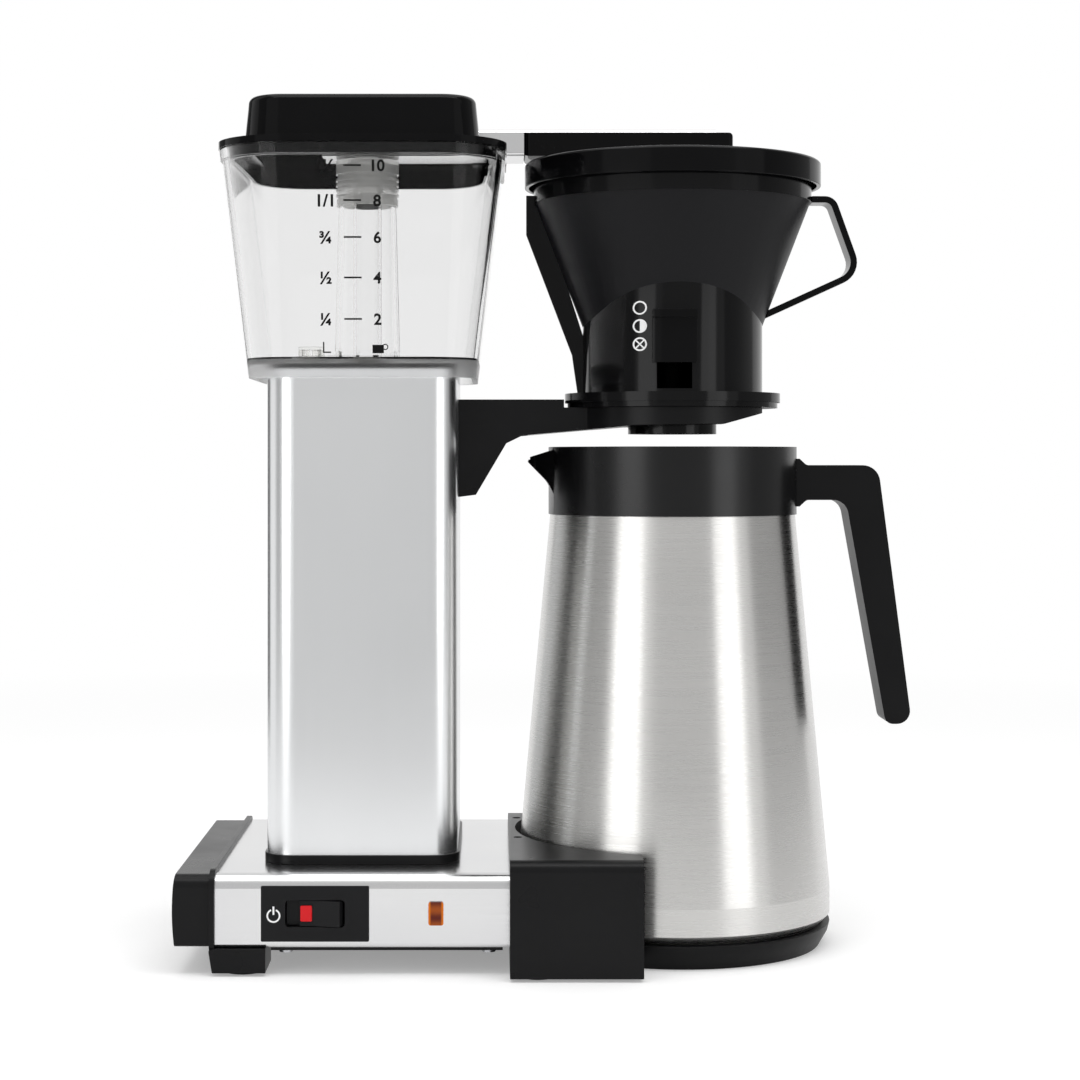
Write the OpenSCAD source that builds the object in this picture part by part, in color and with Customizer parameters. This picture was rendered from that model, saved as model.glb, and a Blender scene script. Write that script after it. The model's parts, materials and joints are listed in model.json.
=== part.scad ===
// Drip coffee maker with a side column, a clear tank, a cone basket and a vacuum flask.
// The column's axis is X = 0, the front faces -Y and the worktop is Z = 0.

/* [Base] */
// Base top to the left of the column
base_left_over = 19; // [10:1:40]
// Base top between the column and the flask bracket
base_right_over = 23; // [12:1:40]
// Front to back depth of the metal base
base_depth = 158; // [140:1:190]
// Height of the base's flat top above the worktop
base_top = 43.5; // [38:0.5:60]
// Gap under the metal base, which is the height of the feet
foot_height = 12; // [10:0.5:18]
// Radius of the long edges of the base
base_round = 6; // [3:0.5:8]
// Sheet thickness of the base and the column
sheet = 1.5; // [1:0.1:2]
// Width of the lips folded in under the base
lip_width = 14; // [10:1:20]

/* [End cap] */
// Length of the black end cap
cap_length = 18.5; // [10:0.5:25]
// How far the cap's end bulges
cap_crown = 1; // [0.5:0.5:4]
// Width of the raised rim between cap and base
rim_width = 2.4; // [1.5:0.1:4]
// How far that rim stands proud of the base
rim_proud = 1.8; // [0.8:0.1:3]
// Length of a foot block along the base
foot_length = 22; // [15:1:30]
// Depth of a foot block from front to back
foot_depth = 26; // [18:1:36]

/* [Flask bracket] */
// Length of the bracket's front arm
bracket_length = 57; // [50:1:65]
// Length of its rear arm
bracket_rear_length = 34; // [26:1:40]
// How far its front stands before the base
bracket_front_over = 13; // [4:1:20]
// How far its flat top stands above the base
bracket_rise = 7.9; // [4:0.1:15]
// Gap between the bracket and the worktop
bracket_lift = 1.5; // [1:0.1:4]
// Gap between the flask and the bracket's hollow at its nearest
cradle_gap = 0.6; // [0.4:0.1:2]
// Thickness of the bracket there
cradle_wall = 3; // [2.5:0.5:6]
// How far the hollow's centre lies past the brewing axis
cradle_shift = 5; // [3:0.5:8]
// Wall of the bracket and of other thick mouldings
moulding_wall = 2.5; // [2:0.1:3.5]

/* [Switch] */
// Width of the black switch plate
plate_width = 46.5; // [40:0.5:50]
// Height of the switch plate
plate_height = 24; // [20:0.5:25]
// Distance from the base's left end to the plate
plate_inset = 20; // [16:1:24]
// Width of the rocker
rocker_width = 25; // [22:0.5:28]
// Height of the rocker
rocker_height = 11; // [9:0.5:13]
// Half of the rocker's swing
rocker_tilt = 7; // [4:0.5:8]
// Distance from the plate's right edge to the signal lens
lens_inset = 25.5; // [15:0.5:30]
// Width of the signal lens
lens_width = 6.5; // [5:0.5:8]
// Height of the signal lens
lens_height = 10; // [8:0.5:12]

/* [Column] */
// Width of the column
column_width = 85; // [80:1:88]
// Depth of the column
column_depth = 106; // [96:1:109]
// Corner radius of the column
column_round = 13; // [8:1:18]
// Height of the black plinth under the column
plinth_height = 4; // [3:0.5:8]

/* [Tank] */
// How far the tank's foot stands out past the column's sides
tank_over_side = 8.5; // [7.5:0.5:12]
// How far it stands out past the column's front and back
tank_over_front = 4.5; // [4:0.5:8]
// Width of the tank at its rim
tank_rim = 126.5; // [122:0.5:132]
// Corner radius at the foot
tank_foot_round = 20; // [16:1:22]
// Depth of the water space from floor to rim
tank_deep = 93; // [85:1:110]
// Depth of the skirt below the floor
tank_skirt = 6; // [4:0.5:8]
// Wall of the tank
tank_wall = 2.4; // [1.8:0.1:3]
// Thickness of the tank's floor
tank_floor = 3; // [2:0.5:4]

/* [Tank lid] */
// Distance from the tank's rim in to the raised part of the lid
lid_step = 10.75; // [9:0.25:14]
// How far each side of the raised part leans in
lid_draft = 2; // [0.5:0.5:4]
// Corner radius of the raised part
lid_round = 18; // [14:1:30]
// Height of the raised part above the lid's flange
lid_raise = 20; // [17:0.5:26]
// Thickness of the lid's flange
lid_flange = 3; // [2:0.5:4]
// Depth of the ring that plugs the tank's mouth
lid_plug = 5; // [4:0.5:12]
// Roundness of the tank lid's top edge
lid_edge = 3; // [2.5:0.5:8]
// Wall of the lid and of other thin mouldings
thin_wall = 2; // [1.6:0.1:2.6]

/* [Outlet arm] */
// Depth of the arm from front to back
arm_depth = 30; // [24:1:32]
// Height of the arm
arm_height = 12.2; // [11:0.1:14]
// Sheet thickness of the arm
arm_wall = 1.5; // [1.2:0.1:1.8]
// Length of the arm to the left of the riser
arm_left = 20; // [18:1:24]
// Length of the arm past the brewing axis
arm_past = 19; // [15:1:24]
// Length of the black cover past the brewing axis
cover_past = 27; // [25:1:32]
// Length of the cover before the brewing axis
cover_before = 69; // [60:1:72]
// Wall of the cover
cover_wall = 3.6; // [2.5:0.1:4.5]
// Outer radius of the glass riser
riser_radius = 6.5; // [5:0.5:7]
// Wall of the glass riser
riser_wall = 1.2; // [1:0.1:1.6]
// Outer radius of the clear sleeve at its top
sleeve_radius = 13.2; // [12.5:0.1:14]
// How much wider the sleeve is at its foot
sleeve_flare = 2; // [1:0.1:3]
// Thickness of the soft collar's ribs round the sleeve
collar_rib = 1.4; // [1.2:0.1:3]
// Height of the soft collar
collar_height = 21; // [18:0.5:24]

/* [Basket] */
// Outer radius of the cone at its top
cone_top_radius = 63.5; // [61:0.5:65]
// Outer radius of the cone at its floor
cone_foot_radius = 36.5; // [34:0.5:38]
// Height of the cone from floor to rim band
cone_height = 70; // [62:0.5:76]
// Height of the plain band above the cone
band_height = 16.6; // [13:0.1:17]
// How far that band stands proud of the cone's top
band_proud = 0.7; // [0.4:0.1:1.5]
// Distance from the axis to the front and back of the oval skirt
skirt_radius = 48.3; // [46:0.1:49]
// Distance from the axis to the skirt's sides
skirt_half = 41.5; // [40:0.5:43]
// Radius of the skirt's curve at its front and back
skirt_nose = 38; // [34:0.5:40]
// Height of the open space under the cone's floor
chamber = 18; // [17:0.5:24]
// How far the foot flange stands out past the skirt
flange_over = 1.5; // [1:0.5:4]
// Thickness of the foot flange
flange_thick = 6.6; // [5:0.2:8]
// Room between the flask and the basket's outlet neck
flask_room = 6; // [4:0.5:20]
// Outer radius of the outlet neck
neck_radius = 20.5; // [18:0.5:22]
// Length of the outlet neck below the flange
neck_length = 12; // [9:0.5:12.5]
// Thickness of the loop handle
loop_thick = 3; // [2.4:0.2:4]
// Width of the loop handle
loop_width = 15; // [12:1:20]
// How far the loop handle reaches past the band
loop_reach = 24; // [20:1:30]
// Gap between the band and the side of the basket lid
basket_lid_gap = 2.3; // [0.4:0.1:3]
// Height of the basket lid's side
basket_lid_height = 11.3; // [9:0.1:12]
// Radius of the water opening in the basket lid
water_hole = 22; // [16:1:30]

/* [Drip stop] */
// Width of the slider plate
slider_width = 20; // [16:0.5:24]
// Height of the slider plate
slider_height = 23.5; // [20:0.5:26]
// Travel of the slider
slider_travel = 10.5; // [8:0.5:11]
// Width of the window below the slider
window_width = 15.6; // [12:0.2:16]
// How far the slider's thumb lip stands out
lip_reach = 3; // [2:0.2:4]

/* [Holder] */
// Width of the holder's arm from front to back
holder_width = 40; // [36:1:46]
// Height of its foot against the column
holder_foot = 44.5; // [38:0.5:50]
// Thickness of the arm near the fork
holder_thick = 12; // [10:0.5:13]
// Outer radius of the fork
fork_radius = 45; // [38:0.5:46]

/* [Flask] */
// Radius of the flask's steel shell at its foot
flask_foot_radius = 72.4; // [70:0.2:73]
// Radius of the shell at its shoulder
flask_top_radius = 56.6; // [54:0.2:58]
// Height of the shell's lower edge
flask_base_height = 11; // [9:0.5:14]
// Height of the shell from its lower edge to the collar
flask_shell_height = 186; // [180:1:187]
// Height of the black collar
flask_collar_height = 31; // [26:0.5:31.5]
// How far the black collar stands proud of the shoulder
collar_proud = 0.8; // [0.4:0.1:3]
// Radius of the flask's mouth
flask_mouth = 40; // [36:0.5:42]
// Sheet thickness of the flask
flask_sheet = 1; // [0.8:0.1:1.4]
// Gap between the shell and the inner flask
flask_gap = 5; // [3:0.5:7]
// How far the pouring lip reaches past the collar
spout_reach = 9.8; // [6:0.2:14]
// How far the lip's tip hangs below the collar's rim
spout_drop = 4.6; // [2:0.2:6]
// How far the handle reaches past the collar at its top
handle_reach = 36.5; // [32:0.5:45]
// Height of the handle's upper arm
handle_arm = 16; // [14:0.5:20]
// Thickness of the grip at its top, seen from the front
handle_grip = 15.4; // [13:0.2:18]
// Thickness of the grip at its foot
handle_foot = 12; // [9:0.2:14]
// Width of the handle from front to back
handle_width = 22; // [18:0.5:26]
// Length of the grip below the upper arm
handle_drop = 103; // [90:1:115]
// How far the grip leans out at its foot
handle_lean = 15.5; // [8:0.5:22]

/* [Fits] */
// Clearance between parts that nest
nest_gap = 0.2; // [0.15:0.05:0.3]
// Running clearance of parts that slide
slide_gap = 0.3; // [0.25:0.05:0.4]
// Radius of the hole for the mains lead
lead_radius = 3.5; // [3:0.1:4]

/* [Hidden] */
$fn = 96;

// A small overrun for cuts, so that no cut ends flush with a face
over = 1;
// Ends of the metal base and the brewing axis
base_x0 = -column_width / 2 - base_left_over;
base_x1 = column_width / 2 + base_right_over;
cradle_radius = flask_foot_radius + cradle_gap + cradle_shift;
brew_x = base_x1 + cradle_wall + cradle_gap + flask_foot_radius;
front_y = -base_depth / 2;
// Radius of the folds under the base
fold_round = sheet + 0.5;
// Length of the spigots that hold the base's ends, and how far the mains gland stands out
spigot = 8;
gland_proud = 2;
// Flask, from the worktop up
collar_low = flask_base_height + flask_shell_height;
collar_top = collar_low + flask_collar_height;
flask_collar_radius = flask_top_radius + collar_proud;
// Basket, with its neck clear of the flask
neck_z = collar_top + flask_room;
flange_z = neck_z + neck_length;
flange_top = flange_z + flange_thick;
cone_z = flange_top + chamber;
band_z = cone_z + cone_height;
basket_top = band_z + band_height;
basket_lid_top = basket_top + thin_wall;
holder_top = flange_top - 3;
band_radius = cone_top_radius + band_proud;
basket_lid_radius = band_radius + basket_lid_gap + thin_wall;
flange_radius = skirt_radius + flange_over;
// Outlet arm, whose nozzle just clears the basket's lid
nozzle_drop = 1.5;
lid_clear = 0.6;
arm_z = basket_lid_top + lid_clear + nozzle_drop;
arm_top = arm_z + arm_height;
// Tank, from its rim under the arm down, and the column that carries it
arm_clear = 0.6;
seat_rim = 2;
rim_z = arm_z - nest_gap - arm_clear;
floor_z = rim_z - tank_deep;
tank_under = floor_z - tank_floor;
plinth_z = base_top;
sleeve_z = plinth_z + plinth_height;
sleeve_top = tank_under - seat_rim;
column_height = sleeve_top - sleeve_z;
// How far each wall of the tank leans out over its height
tank_foot = column_width + 2 * tank_over_side;
tank_foot_depth = column_depth + 2 * tank_over_front;
tank_deeper = tank_foot_depth - tank_foot;
tank_height = tank_deep + tank_floor + tank_skirt;
tank_lean = (tank_rim - tank_foot) / 2;
// Middle of the whole machine in plan, which becomes the origin
reach_right = brew_x + flask_collar_radius + handle_reach + handle_lean;
mid_x = (base_x0 - cap_length + reach_right) / 2;
mid_y = (gland_proud - bracket_front_over) / 2;

module place() translate([-mid_x, -mid_y, 0]) children();

// Extrusions of an outline drawn in the plane across X, or in the plane across Y
module along_x(x0, x1) translate([x0, 0, 0]) rotate([90, 0, 90]) linear_extrude(x1 - x0) children();
module along_y(y0, y1) translate([0, y1, 0]) rotate([90, 0, 0]) linear_extrude(y1 - y0) children();

// A rectangle with round corners, centred
module rounded(w, h, r) {
    square([w - 2 * r, h], center = true);
    square([w, h - 2 * r], center = true);
    for (x = [-1, 1], y = [-1, 1]) translate([x * (w / 2 - r), y * (h / 2 - r)]) circle(r);
}

// The corner at b of a line a-b-c, as points along an arc of radius r
arc_steps = 8;
function unit(v) = v / norm(v);
function turned(v, angle) = [v.x * cos(angle) - v.y * sin(angle), v.x * sin(angle) + v.y * cos(angle)];
function corner(a, b, c, r) = let (
    back = unit(a - b),
    on = unit(c - b),
    half = acos(back * on) / 2,
    centre = b + unit(back + on) * r / sin(half),
    start = b + back * r / tan(half) - centre,
    sweep = sign(on.x * back.y - on.y * back.x) * (180 - 2 * half)
) r == 0 ? [b] : [for (i = [0 : arc_steps]) centre + turned(start, sweep * i / arc_steps)];
function xy(p) = [p.x, p.y];

// A closed outline of points [x, y, corner radius]
module outline(points) {
    n = len(points);
    polygon([for (i = [0 : n - 1], q = corner(xy(points[(i + n - 1) % n]), xy(points[i]),
        xy(points[(i + 1) % n]), points[i].z)) q]);
}

// A strip of even thickness along a line of points [x, y, corner radius], with square ends
module strip(points, thick) {
    n = len(points);
    line = [for (i = [0 : n - 1], q = (i == 0 || i == n - 1) ? [xy(points[i])]
        : corner(xy(points[i - 1]), xy(points[i]), xy(points[i + 1]), points[i].z)) q];
    m = len(line);
    side = [for (i = [0 : m - 1]) turned(unit(line[min(i + 1, m - 1)] - line[max(i - 1, 0)]), 90) * thick / 2];
    polygon(concat([for (i = [0 : m - 1]) line[i] + side[i]], [for (i = [m - 1 : -1 : 0]) line[i] - side[i]]));
}

// A box with round corners whose four walls lean out by the same amount: cones joined by leaning walls
module leaning_box(w, d, r, lean, h) {
    for (x = [-1, 1], y = [-1, 1])
        translate([x * (w / 2 - r), y * (d / 2 - r), 0]) cylinder(h = h, r1 = r, r2 = r + lean);
    along_x(r - w / 2, w / 2 - r)
        polygon([[-d / 2, 0], [d / 2, 0], [d / 2 + lean, h], [-d / 2 - lean, h]]);
    along_y(r - d / 2, d / 2 - r)
        polygon([[-w / 2, 0], [w / 2, 0], [w / 2 + lean, h], [-w / 2 - lean, h]]);
}

// Tubes and rings stood on a height
module tube(z0, z1, outer, inner) translate([0, 0, z0]) difference() {
    cylinder(h = z1 - z0, r = outer);
    translate([0, 0, -over]) cylinder(h = z1 - z0 + 2 * over, r = inner);
}
module disc(z0, z1, r) translate([0, 0, z0]) cylinder(h = z1 - z0, r = r);

// ---------------------------------------------------------------- base

// Cross-section of the base, shrunk by an inset on every side
module base_section(inset) {
    half = base_depth / 2 - inset;
    low = foot_height + inset;
    high = base_top - inset;
    top_r = base_round - inset;
    low_r = max(fold_round - inset, 0.4);
    translate([top_r - half, low + low_r]) square([2 * (half - top_r), high - low - low_r]);
    translate([-half, low + low_r]) square([2 * half, high - low - low_r - top_r]);
    translate([low_r - half, low]) square([2 * (half - low_r), low_r * 2]);
    for (side = [-1, 1]) {
        translate([side * (half - top_r), high - top_r]) circle(top_r);
        translate([side * (half - low_r), low + low_r]) circle(low_r);
    }
}

// Screws that hold the bottom plate, in the middle of the folded lips
plate_x0 = base_x0 + foot_length + 2;
plate_x1 = base_x1 - 3;
plate_thick = 1.5;
plate_screw_radius = 1.5;
plate_screw_y = base_depth / 2 - lip_width + 5;
module at_plate_screws() for (x = [plate_x0 + 6, plate_x1 - 6], y = [-1, 1])
    translate([x, y * plate_screw_y, 0]) children();

// Switch and signal lens on the front of the base
switch_x = base_x0 + plate_inset + plate_width / 2;
switch_z = (foot_height + base_top) / 2 - 0.8;
rocker_x = switch_x;
plate_proud = 1.2;
rocker_gap = 0.25;
rocker_round = 1.3;
body_wall = 1.6;
rocker_pivot_y = front_y + 3.5;
lens_x = base_x0 + plate_inset + plate_width + lens_inset + lens_width / 2;
lens_proud = 1.2;
module switch_outline(grow) translate([rocker_x, 0, switch_z])
    along_y(front_y - 20, front_y + 20)
        rounded(rocker_width + 2 * grow, rocker_height + 2 * grow, rocker_round + grow);
module lens_outline(grow) translate([lens_x, 0, switch_z])
    along_y(front_y - 20, front_y + 20)
        rounded(lens_width + 2 * grow, lens_height + 2 * grow, max(1 + grow, 0.2));

// Mains gland in the back wall
gland_x = base_x0 + 30;
gland_z = switch_z;
gland_radius = lead_radius + 3.5;

module base_housing() place() color("silver") difference() {
    along_x(base_x0, base_x1) difference() {
        base_section(0);
        base_section(sheet);
        translate([lip_width - base_depth / 2, foot_height - over])
            square([base_depth - 2 * lip_width, sheet + 2 * over]);
    }
    intersection() {
        switch_outline(rocker_gap + body_wall + nest_gap);
        translate([base_x0, front_y - over, 0]) cube([base_x1 - base_x0, sheet + 2 * over, base_top]);
    }
    intersection() {
        lens_outline(-0.8 + nest_gap);
        translate([base_x0, front_y - over, 0]) cube([base_x1 - base_x0, sheet + 2 * over, base_top]);
    }
    translate([gland_x, 0, gland_z]) along_y(-front_y - sheet - over, -front_y + over) circle(gland_radius);
    translate([0, 0, base_top - sheet - over]) linear_extrude(sheet + 2 * over)
        rounded(column_width - 2 * column_round, column_depth - 2 * column_round, 4);
    at_plate_screws() disc(foot_height - over, foot_height + sheet + over, plate_screw_radius + nest_gap / 2);
}

// Outline of the cap's length and height: a gently crowned end with round corners
module cap_side() {
    high = base_top - foot_height;
    crown_r = (high * high / 4 + cap_crown * cap_crown) / (2 * cap_crown);
    intersection() {
        translate([base_x0 - cap_length + crown_r, foot_height + high / 2]) circle(crown_r);
        union() {
            translate([base_x0 - cap_length + cap_crown + 1, foot_height]) square([cap_length + spigot, high]);
            translate([base_x0 - cap_length, foot_height + 3]) square([cap_length, high - 6]);
            for (z = [foot_height + 3, base_top - 3])
                translate([base_x0 - cap_length + cap_crown + 1, z]) circle(3);
        }
    }
}

pad_thick = 1.5;
pad_recess = 1;
pad_radius = 8.5;
foot_y = base_depth / 2 + rim_proud - foot_depth / 2;
bracket_pad_x = base_x1 + 12;
bracket_pad_y = [front_y - bracket_front_over + 14, -front_y - 13];
module left_pads() for (y = [-1, 1]) translate([base_x0 + foot_length / 2 + 0.5, y * foot_y, 0]) children();
module right_pads() for (y = bracket_pad_y) translate([bracket_pad_x, y, 0]) children();

module left_end_cap() place() color("#1c1c1e") difference() {
    union() {
        intersection() {
            along_x(base_x0 - cap_length, base_x0 - rim_width + 0.01) base_section(0.4);
            along_y(front_y, -front_y) cap_side();
        }
        along_x(base_x0 - rim_width, base_x0) base_section(-rim_proud);
        along_x(base_x0 - 0.01, base_x0 + spigot) base_section(sheet + nest_gap);
        for (y = [-1, 1]) translate([0, y * foot_y, 0]) along_y(-foot_depth / 2, foot_depth / 2)
            polygon([[base_x0 - rim_width, foot_height - rim_proud + 1], [base_x0 - rim_width, foot_height - 2],
                [base_x0 - 1, pad_thick], [base_x0 + foot_length, pad_thick],
                [base_x0 + foot_length, foot_height], [base_x0, foot_height]]);
    }
    intersection() {
        along_x(base_x0 - cap_length + cap_crown + moulding_wall, base_x0 + spigot + over)
            base_section(sheet + nest_gap + moulding_wall);
        translate([base_x0 - cap_length, front_y, foot_height])
            cube([cap_length + spigot + over, base_depth, base_top]);
    }
    left_pads() disc(pad_thick - over, pad_thick + pad_recess, pad_radius + nest_gap);
}

module rubber_feet() place() color("#101010") {
    left_pads() disc(0, pad_thick + pad_recess, pad_radius);
    right_pads() disc(0, bracket_lift + pad_recess, pad_radius);
}

// ---------------------------------------------------------------- flask bracket

bracket_top = base_top + bracket_rise;
bracket_flat = 43;
cradle_x = brew_x + cradle_shift;
bracket_y0 = front_y - bracket_front_over;
bracket_y1 = -front_y;
// Plan of the bracket, shrunk by an inset: two arms round the flask's hollow
module bracket_plan(inset) difference() {
    union() {
        translate([base_x1 + inset, bracket_y0 + inset])
            square([bracket_rear_length - 2 * inset, bracket_y1 - bracket_y0 - 2 * inset]);
        translate([base_x1 + inset, bracket_y0 + inset])
            square([bracket_length - 2 * inset, -bracket_y0 - inset]);
    }
    translate([cradle_x, 0]) circle(cradle_radius + inset);
}
// Side of the bracket, shrunk by an inset: a level top that falls away to the back
module bracket_side(inset) {
    edge = 5 - inset;
    top = bracket_top - inset;
    low_top = base_top - 6 - inset;
    polygon([
        [bracket_y0 + inset, bracket_lift - (inset > 0 ? over : 0)], [bracket_y0 + inset, top - edge],
        [bracket_y0 + inset + edge, top], [bracket_flat - inset / 2, top], [bracket_y1 - inset, low_top],
        [bracket_y1 - inset, bracket_lift - (inset > 0 ? over : 0)]
    ]);
    translate([bracket_y0 + inset + edge, top - edge]) circle(edge);
}

module flask_bracket() place() color("#202022") difference() {
    union() {
        intersection() {
            difference() {
                linear_extrude(bracket_top) bracket_plan(0);
                intersection() {
                    translate([0, 0, -over]) linear_extrude(bracket_top) bracket_plan(moulding_wall);
                    along_x(base_x1, base_x1 + bracket_length) bracket_side(moulding_wall);
                }
            }
            along_x(base_x1, base_x1 + bracket_length) bracket_side(0);
        }
        right_pads() disc(bracket_lift, base_top - 10, pad_radius + 2);
        along_x(base_x1 - spigot, base_x1 + 1) intersection() {
            difference() {
                base_section(sheet + nest_gap);
                base_section(sheet + nest_gap + moulding_wall);
            }
            translate([front_y, foot_height + sheet + 4]) square([base_depth, base_top]);
        }
    }
    right_pads() disc(bracket_lift - over, bracket_lift + pad_recess, pad_radius + nest_gap);
    for (y = [-1, 1]) translate([base_x1 + 4, y * 28, 0]) disc(bracket_top - 1.4, bracket_top + over, 2);
}

module bottom_plate() place() color("#2a2a2c") difference() {
    translate([plate_x0, -plate_screw_y - 6, foot_height - plate_thick])
        cube([plate_x1 - plate_x0, 2 * plate_screw_y + 12, plate_thick]);
    at_plate_screws()
        disc(foot_height - plate_thick - over, foot_height + over, plate_screw_radius + nest_gap / 2);
    for (x = [plate_x0 + 22 : 12 : plate_x1 - 22], y = [-30, 0, 30])
        translate([x, y, foot_height - plate_thick - over])
            linear_extrude(plate_thick + 2 * over) rounded(4, 22, 1.9);
}

module bottom_screws() place() color("#b8b8bc") at_plate_screws() difference() {
    union() {
        disc(foot_height - plate_thick - 1.6, foot_height - plate_thick, plate_screw_radius + 1.4);
        disc(foot_height - plate_thick - 0.01, foot_height + 5, plate_screw_radius);
    }
    for (turn = [0, 90]) rotate(turn)
        translate([-1.6, -0.3, foot_height - plate_thick - 1.6 - over]) cube([3.2, 0.6, over + 0.9]);
}

// ---------------------------------------------------------------- switch

module switch_plate() place() color("#18181a") difference() {
    translate([switch_x, 0, switch_z])
        along_y(front_y - plate_proud, front_y) rounded(plate_width, plate_height, 0.6);
    switch_outline(rocker_gap);
}

module switch_body() place() color("#18181a") difference() {
    intersection() {
        switch_outline(rocker_gap + body_wall);
        translate([base_x0, front_y, 0]) cube([base_x1 - base_x0, 17, base_top]);
    }
    intersection() {
        switch_outline(rocker_gap);
        translate([base_x0, front_y - over, 0]) cube([base_x1 - base_x0, 12 + over, base_top]);
    }
    translate([rocker_x, rocker_pivot_y, switch_z - rocker_height]) cylinder(h = 2 * rocker_height, r = 1.55);
}

// A rocker with round ends about its pin, stepped back at its left end, where it stands pressed in
rocker_step = 6.4 - rocker_width / 2;
module rocker_form() translate([rocker_x, rocker_pivot_y, switch_z]) rotate(-rocker_tilt) children();
module rocker() place() color("#111113") rocker_form() difference() {
    union() {
        intersection() {
            translate([0, 0, -rocker_height / 2]) linear_extrude(rocker_height) intersection() {
                circle(rocker_width / 2);
                polygon([
                    [-rocker_width, -rocker_width * tan(rocker_tilt) - 1.5], [rocker_step, -1.5],
                    [rocker_step, rocker_step * tan(rocker_tilt) - 3.7], [0, -3.7],
                    [rocker_width, -rocker_width * tan(rocker_tilt) - 3.7],
                    [rocker_width, 3], [-rocker_width, 3]
                ]);
            }
            along_y(-rocker_width, rocker_width)
                rounded(rocker_width, rocker_height + over / 50, rocker_round + 0.2);
        }
        translate([0, 0, -rocker_height / 2 - rocker_gap - 1])
            cylinder(h = rocker_height + 2 * rocker_gap + 2, r = 1.5);
    }
    rocker_lens_form(nest_gap / 2, over);
}
module rocker_lens_form(gap, proud) translate([rocker_step + 3.3, 0, 0]) rotate(-rocker_tilt)
    along_y(-6 - proud * 2, gap - 2.6) rounded(4.7 + 2 * gap, 6.8 + 2 * gap, 0.5);
module rocker_lens() place() color("red") rocker_form() intersection() {
    rocker_lens_form(0, 0);
    translate([0, 0, -rocker_height / 2]) linear_extrude(rocker_height)
        polygon([[-rocker_width, -rocker_width * tan(rocker_tilt) - 4], [0, -4], [0, 3], [-rocker_width, 3]]);
}

module signal_lens() place() color("orange") difference() {
    union() {
        intersection() {
            lens_outline(0);
            translate([base_x0, front_y - lens_proud, 0]) cube([base_x1 - base_x0, lens_proud, base_top]);
        }
        intersection() {
            lens_outline(-0.8);
            translate([base_x0, front_y - 0.01, 0]) cube([base_x1 - base_x0, 9, base_top]);
        }
    }
    intersection() {
        lens_outline(-1.6);
        translate([base_x0, front_y, 0]) cube([base_x1 - base_x0, 12, base_top]);
    }
}

module signal_lamp() place() color("#e8d8c0") translate([lens_x, front_y, switch_z]) rotate([-90, 0, 0]) {
    translate([0, 0, 2]) cylinder(h = 9, r = lens_width / 2 - 1.7);
    translate([0, 0, 2]) sphere(lens_width / 2 - 1.7);
    translate([0, 0, 9]) cylinder(h = 4, r = lens_width / 2 - 0.9);
}

module lead_gland() place() color("#151517") translate([gland_x, 0, gland_z]) difference() {
    union() {
        along_y(-front_y, -front_y + gland_proud) circle(gland_radius + 2.5);
        along_y(-front_y - sheet - 4, -front_y + 0.01) circle(gland_radius - nest_gap);
        along_y(-front_y - sheet - 4, -front_y - sheet) circle(gland_radius + 0.8);
    }
    along_y(-front_y - sheet - 5, -front_y + gland_proud + over) circle(lead_radius);
}

module terminal_block() place() color("#e6e2d6")
    translate([gland_x + 14, -front_y - 44, foot_height]) difference() {
    cube([38, 16, 12]);
    for (i = [0 : 2]) translate([7 + 12 * i, 8, 5]) cylinder(h = 8, r = 3);
    for (i = [0 : 2]) translate([7 + 12 * i, -over, 5]) rotate([-90, 0, 0]) cylinder(h = 18, r = 1.8);
}

// ---------------------------------------------------------------- column

plinth_proud = 1;
upstand = 8;
module column_plan(inset) rounded(column_width - 2 * inset, column_depth - 2 * inset, column_round - inset);

module column_plinth() place() color("#19191b") translate([0, 0, plinth_z]) difference() {
    union() {
        linear_extrude(plinth_height) column_plan(-plinth_proud);
        linear_extrude(plinth_height + upstand) column_plan(sheet + nest_gap);
    }
    translate([0, 0, -over]) linear_extrude(plinth_height + upstand + 2 * over)
        column_plan(sheet + nest_gap + moulding_wall);
}

// Holder of the basket: the screws through the column's right wall
screw_radius = 2;
holder_screw_z = [holder_top - 9, holder_top - holder_foot + 9];
holder_screw_y = holder_width / 2 - 8;
module at_holder_screws(x) for (z = holder_screw_z, y = [-1, 1])
    translate([x, y * holder_screw_y, z]) rotate([0, 90, 0]) children();

module column_sleeve() place() color("#c4c5c8") difference() {
    translate([0, 0, sleeve_z]) linear_extrude(column_height) difference() {
        column_plan(0);
        column_plan(sheet);
    }
    at_holder_screws(column_width / 2 - sheet - over)
        cylinder(h = sheet + 2 * over, r = screw_radius + nest_gap / 2);
}

// Places of the riser and of the outlet valve in the tank's floor
riser_x = 0;
valve_x = -26;
valve_radius = 7.8;
module tank_seat() place() color("#1b1b1d") difference() {
    union() {
        translate([0, 0, sleeve_top]) linear_extrude(seat_rim) column_plan(0);
        translate([0, 0, sleeve_top - upstand]) linear_extrude(upstand + 0.01) column_plan(sheet + nest_gap);
    }
    translate([0, 0, sleeve_top - upstand - over]) linear_extrude(upstand - 1)
        column_plan(sheet + nest_gap + moulding_wall);
    for (x = [riser_x, valve_x]) translate([x, 0, 0]) disc(sleeve_top - 3, tank_under + over, 10.2);
}

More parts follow.
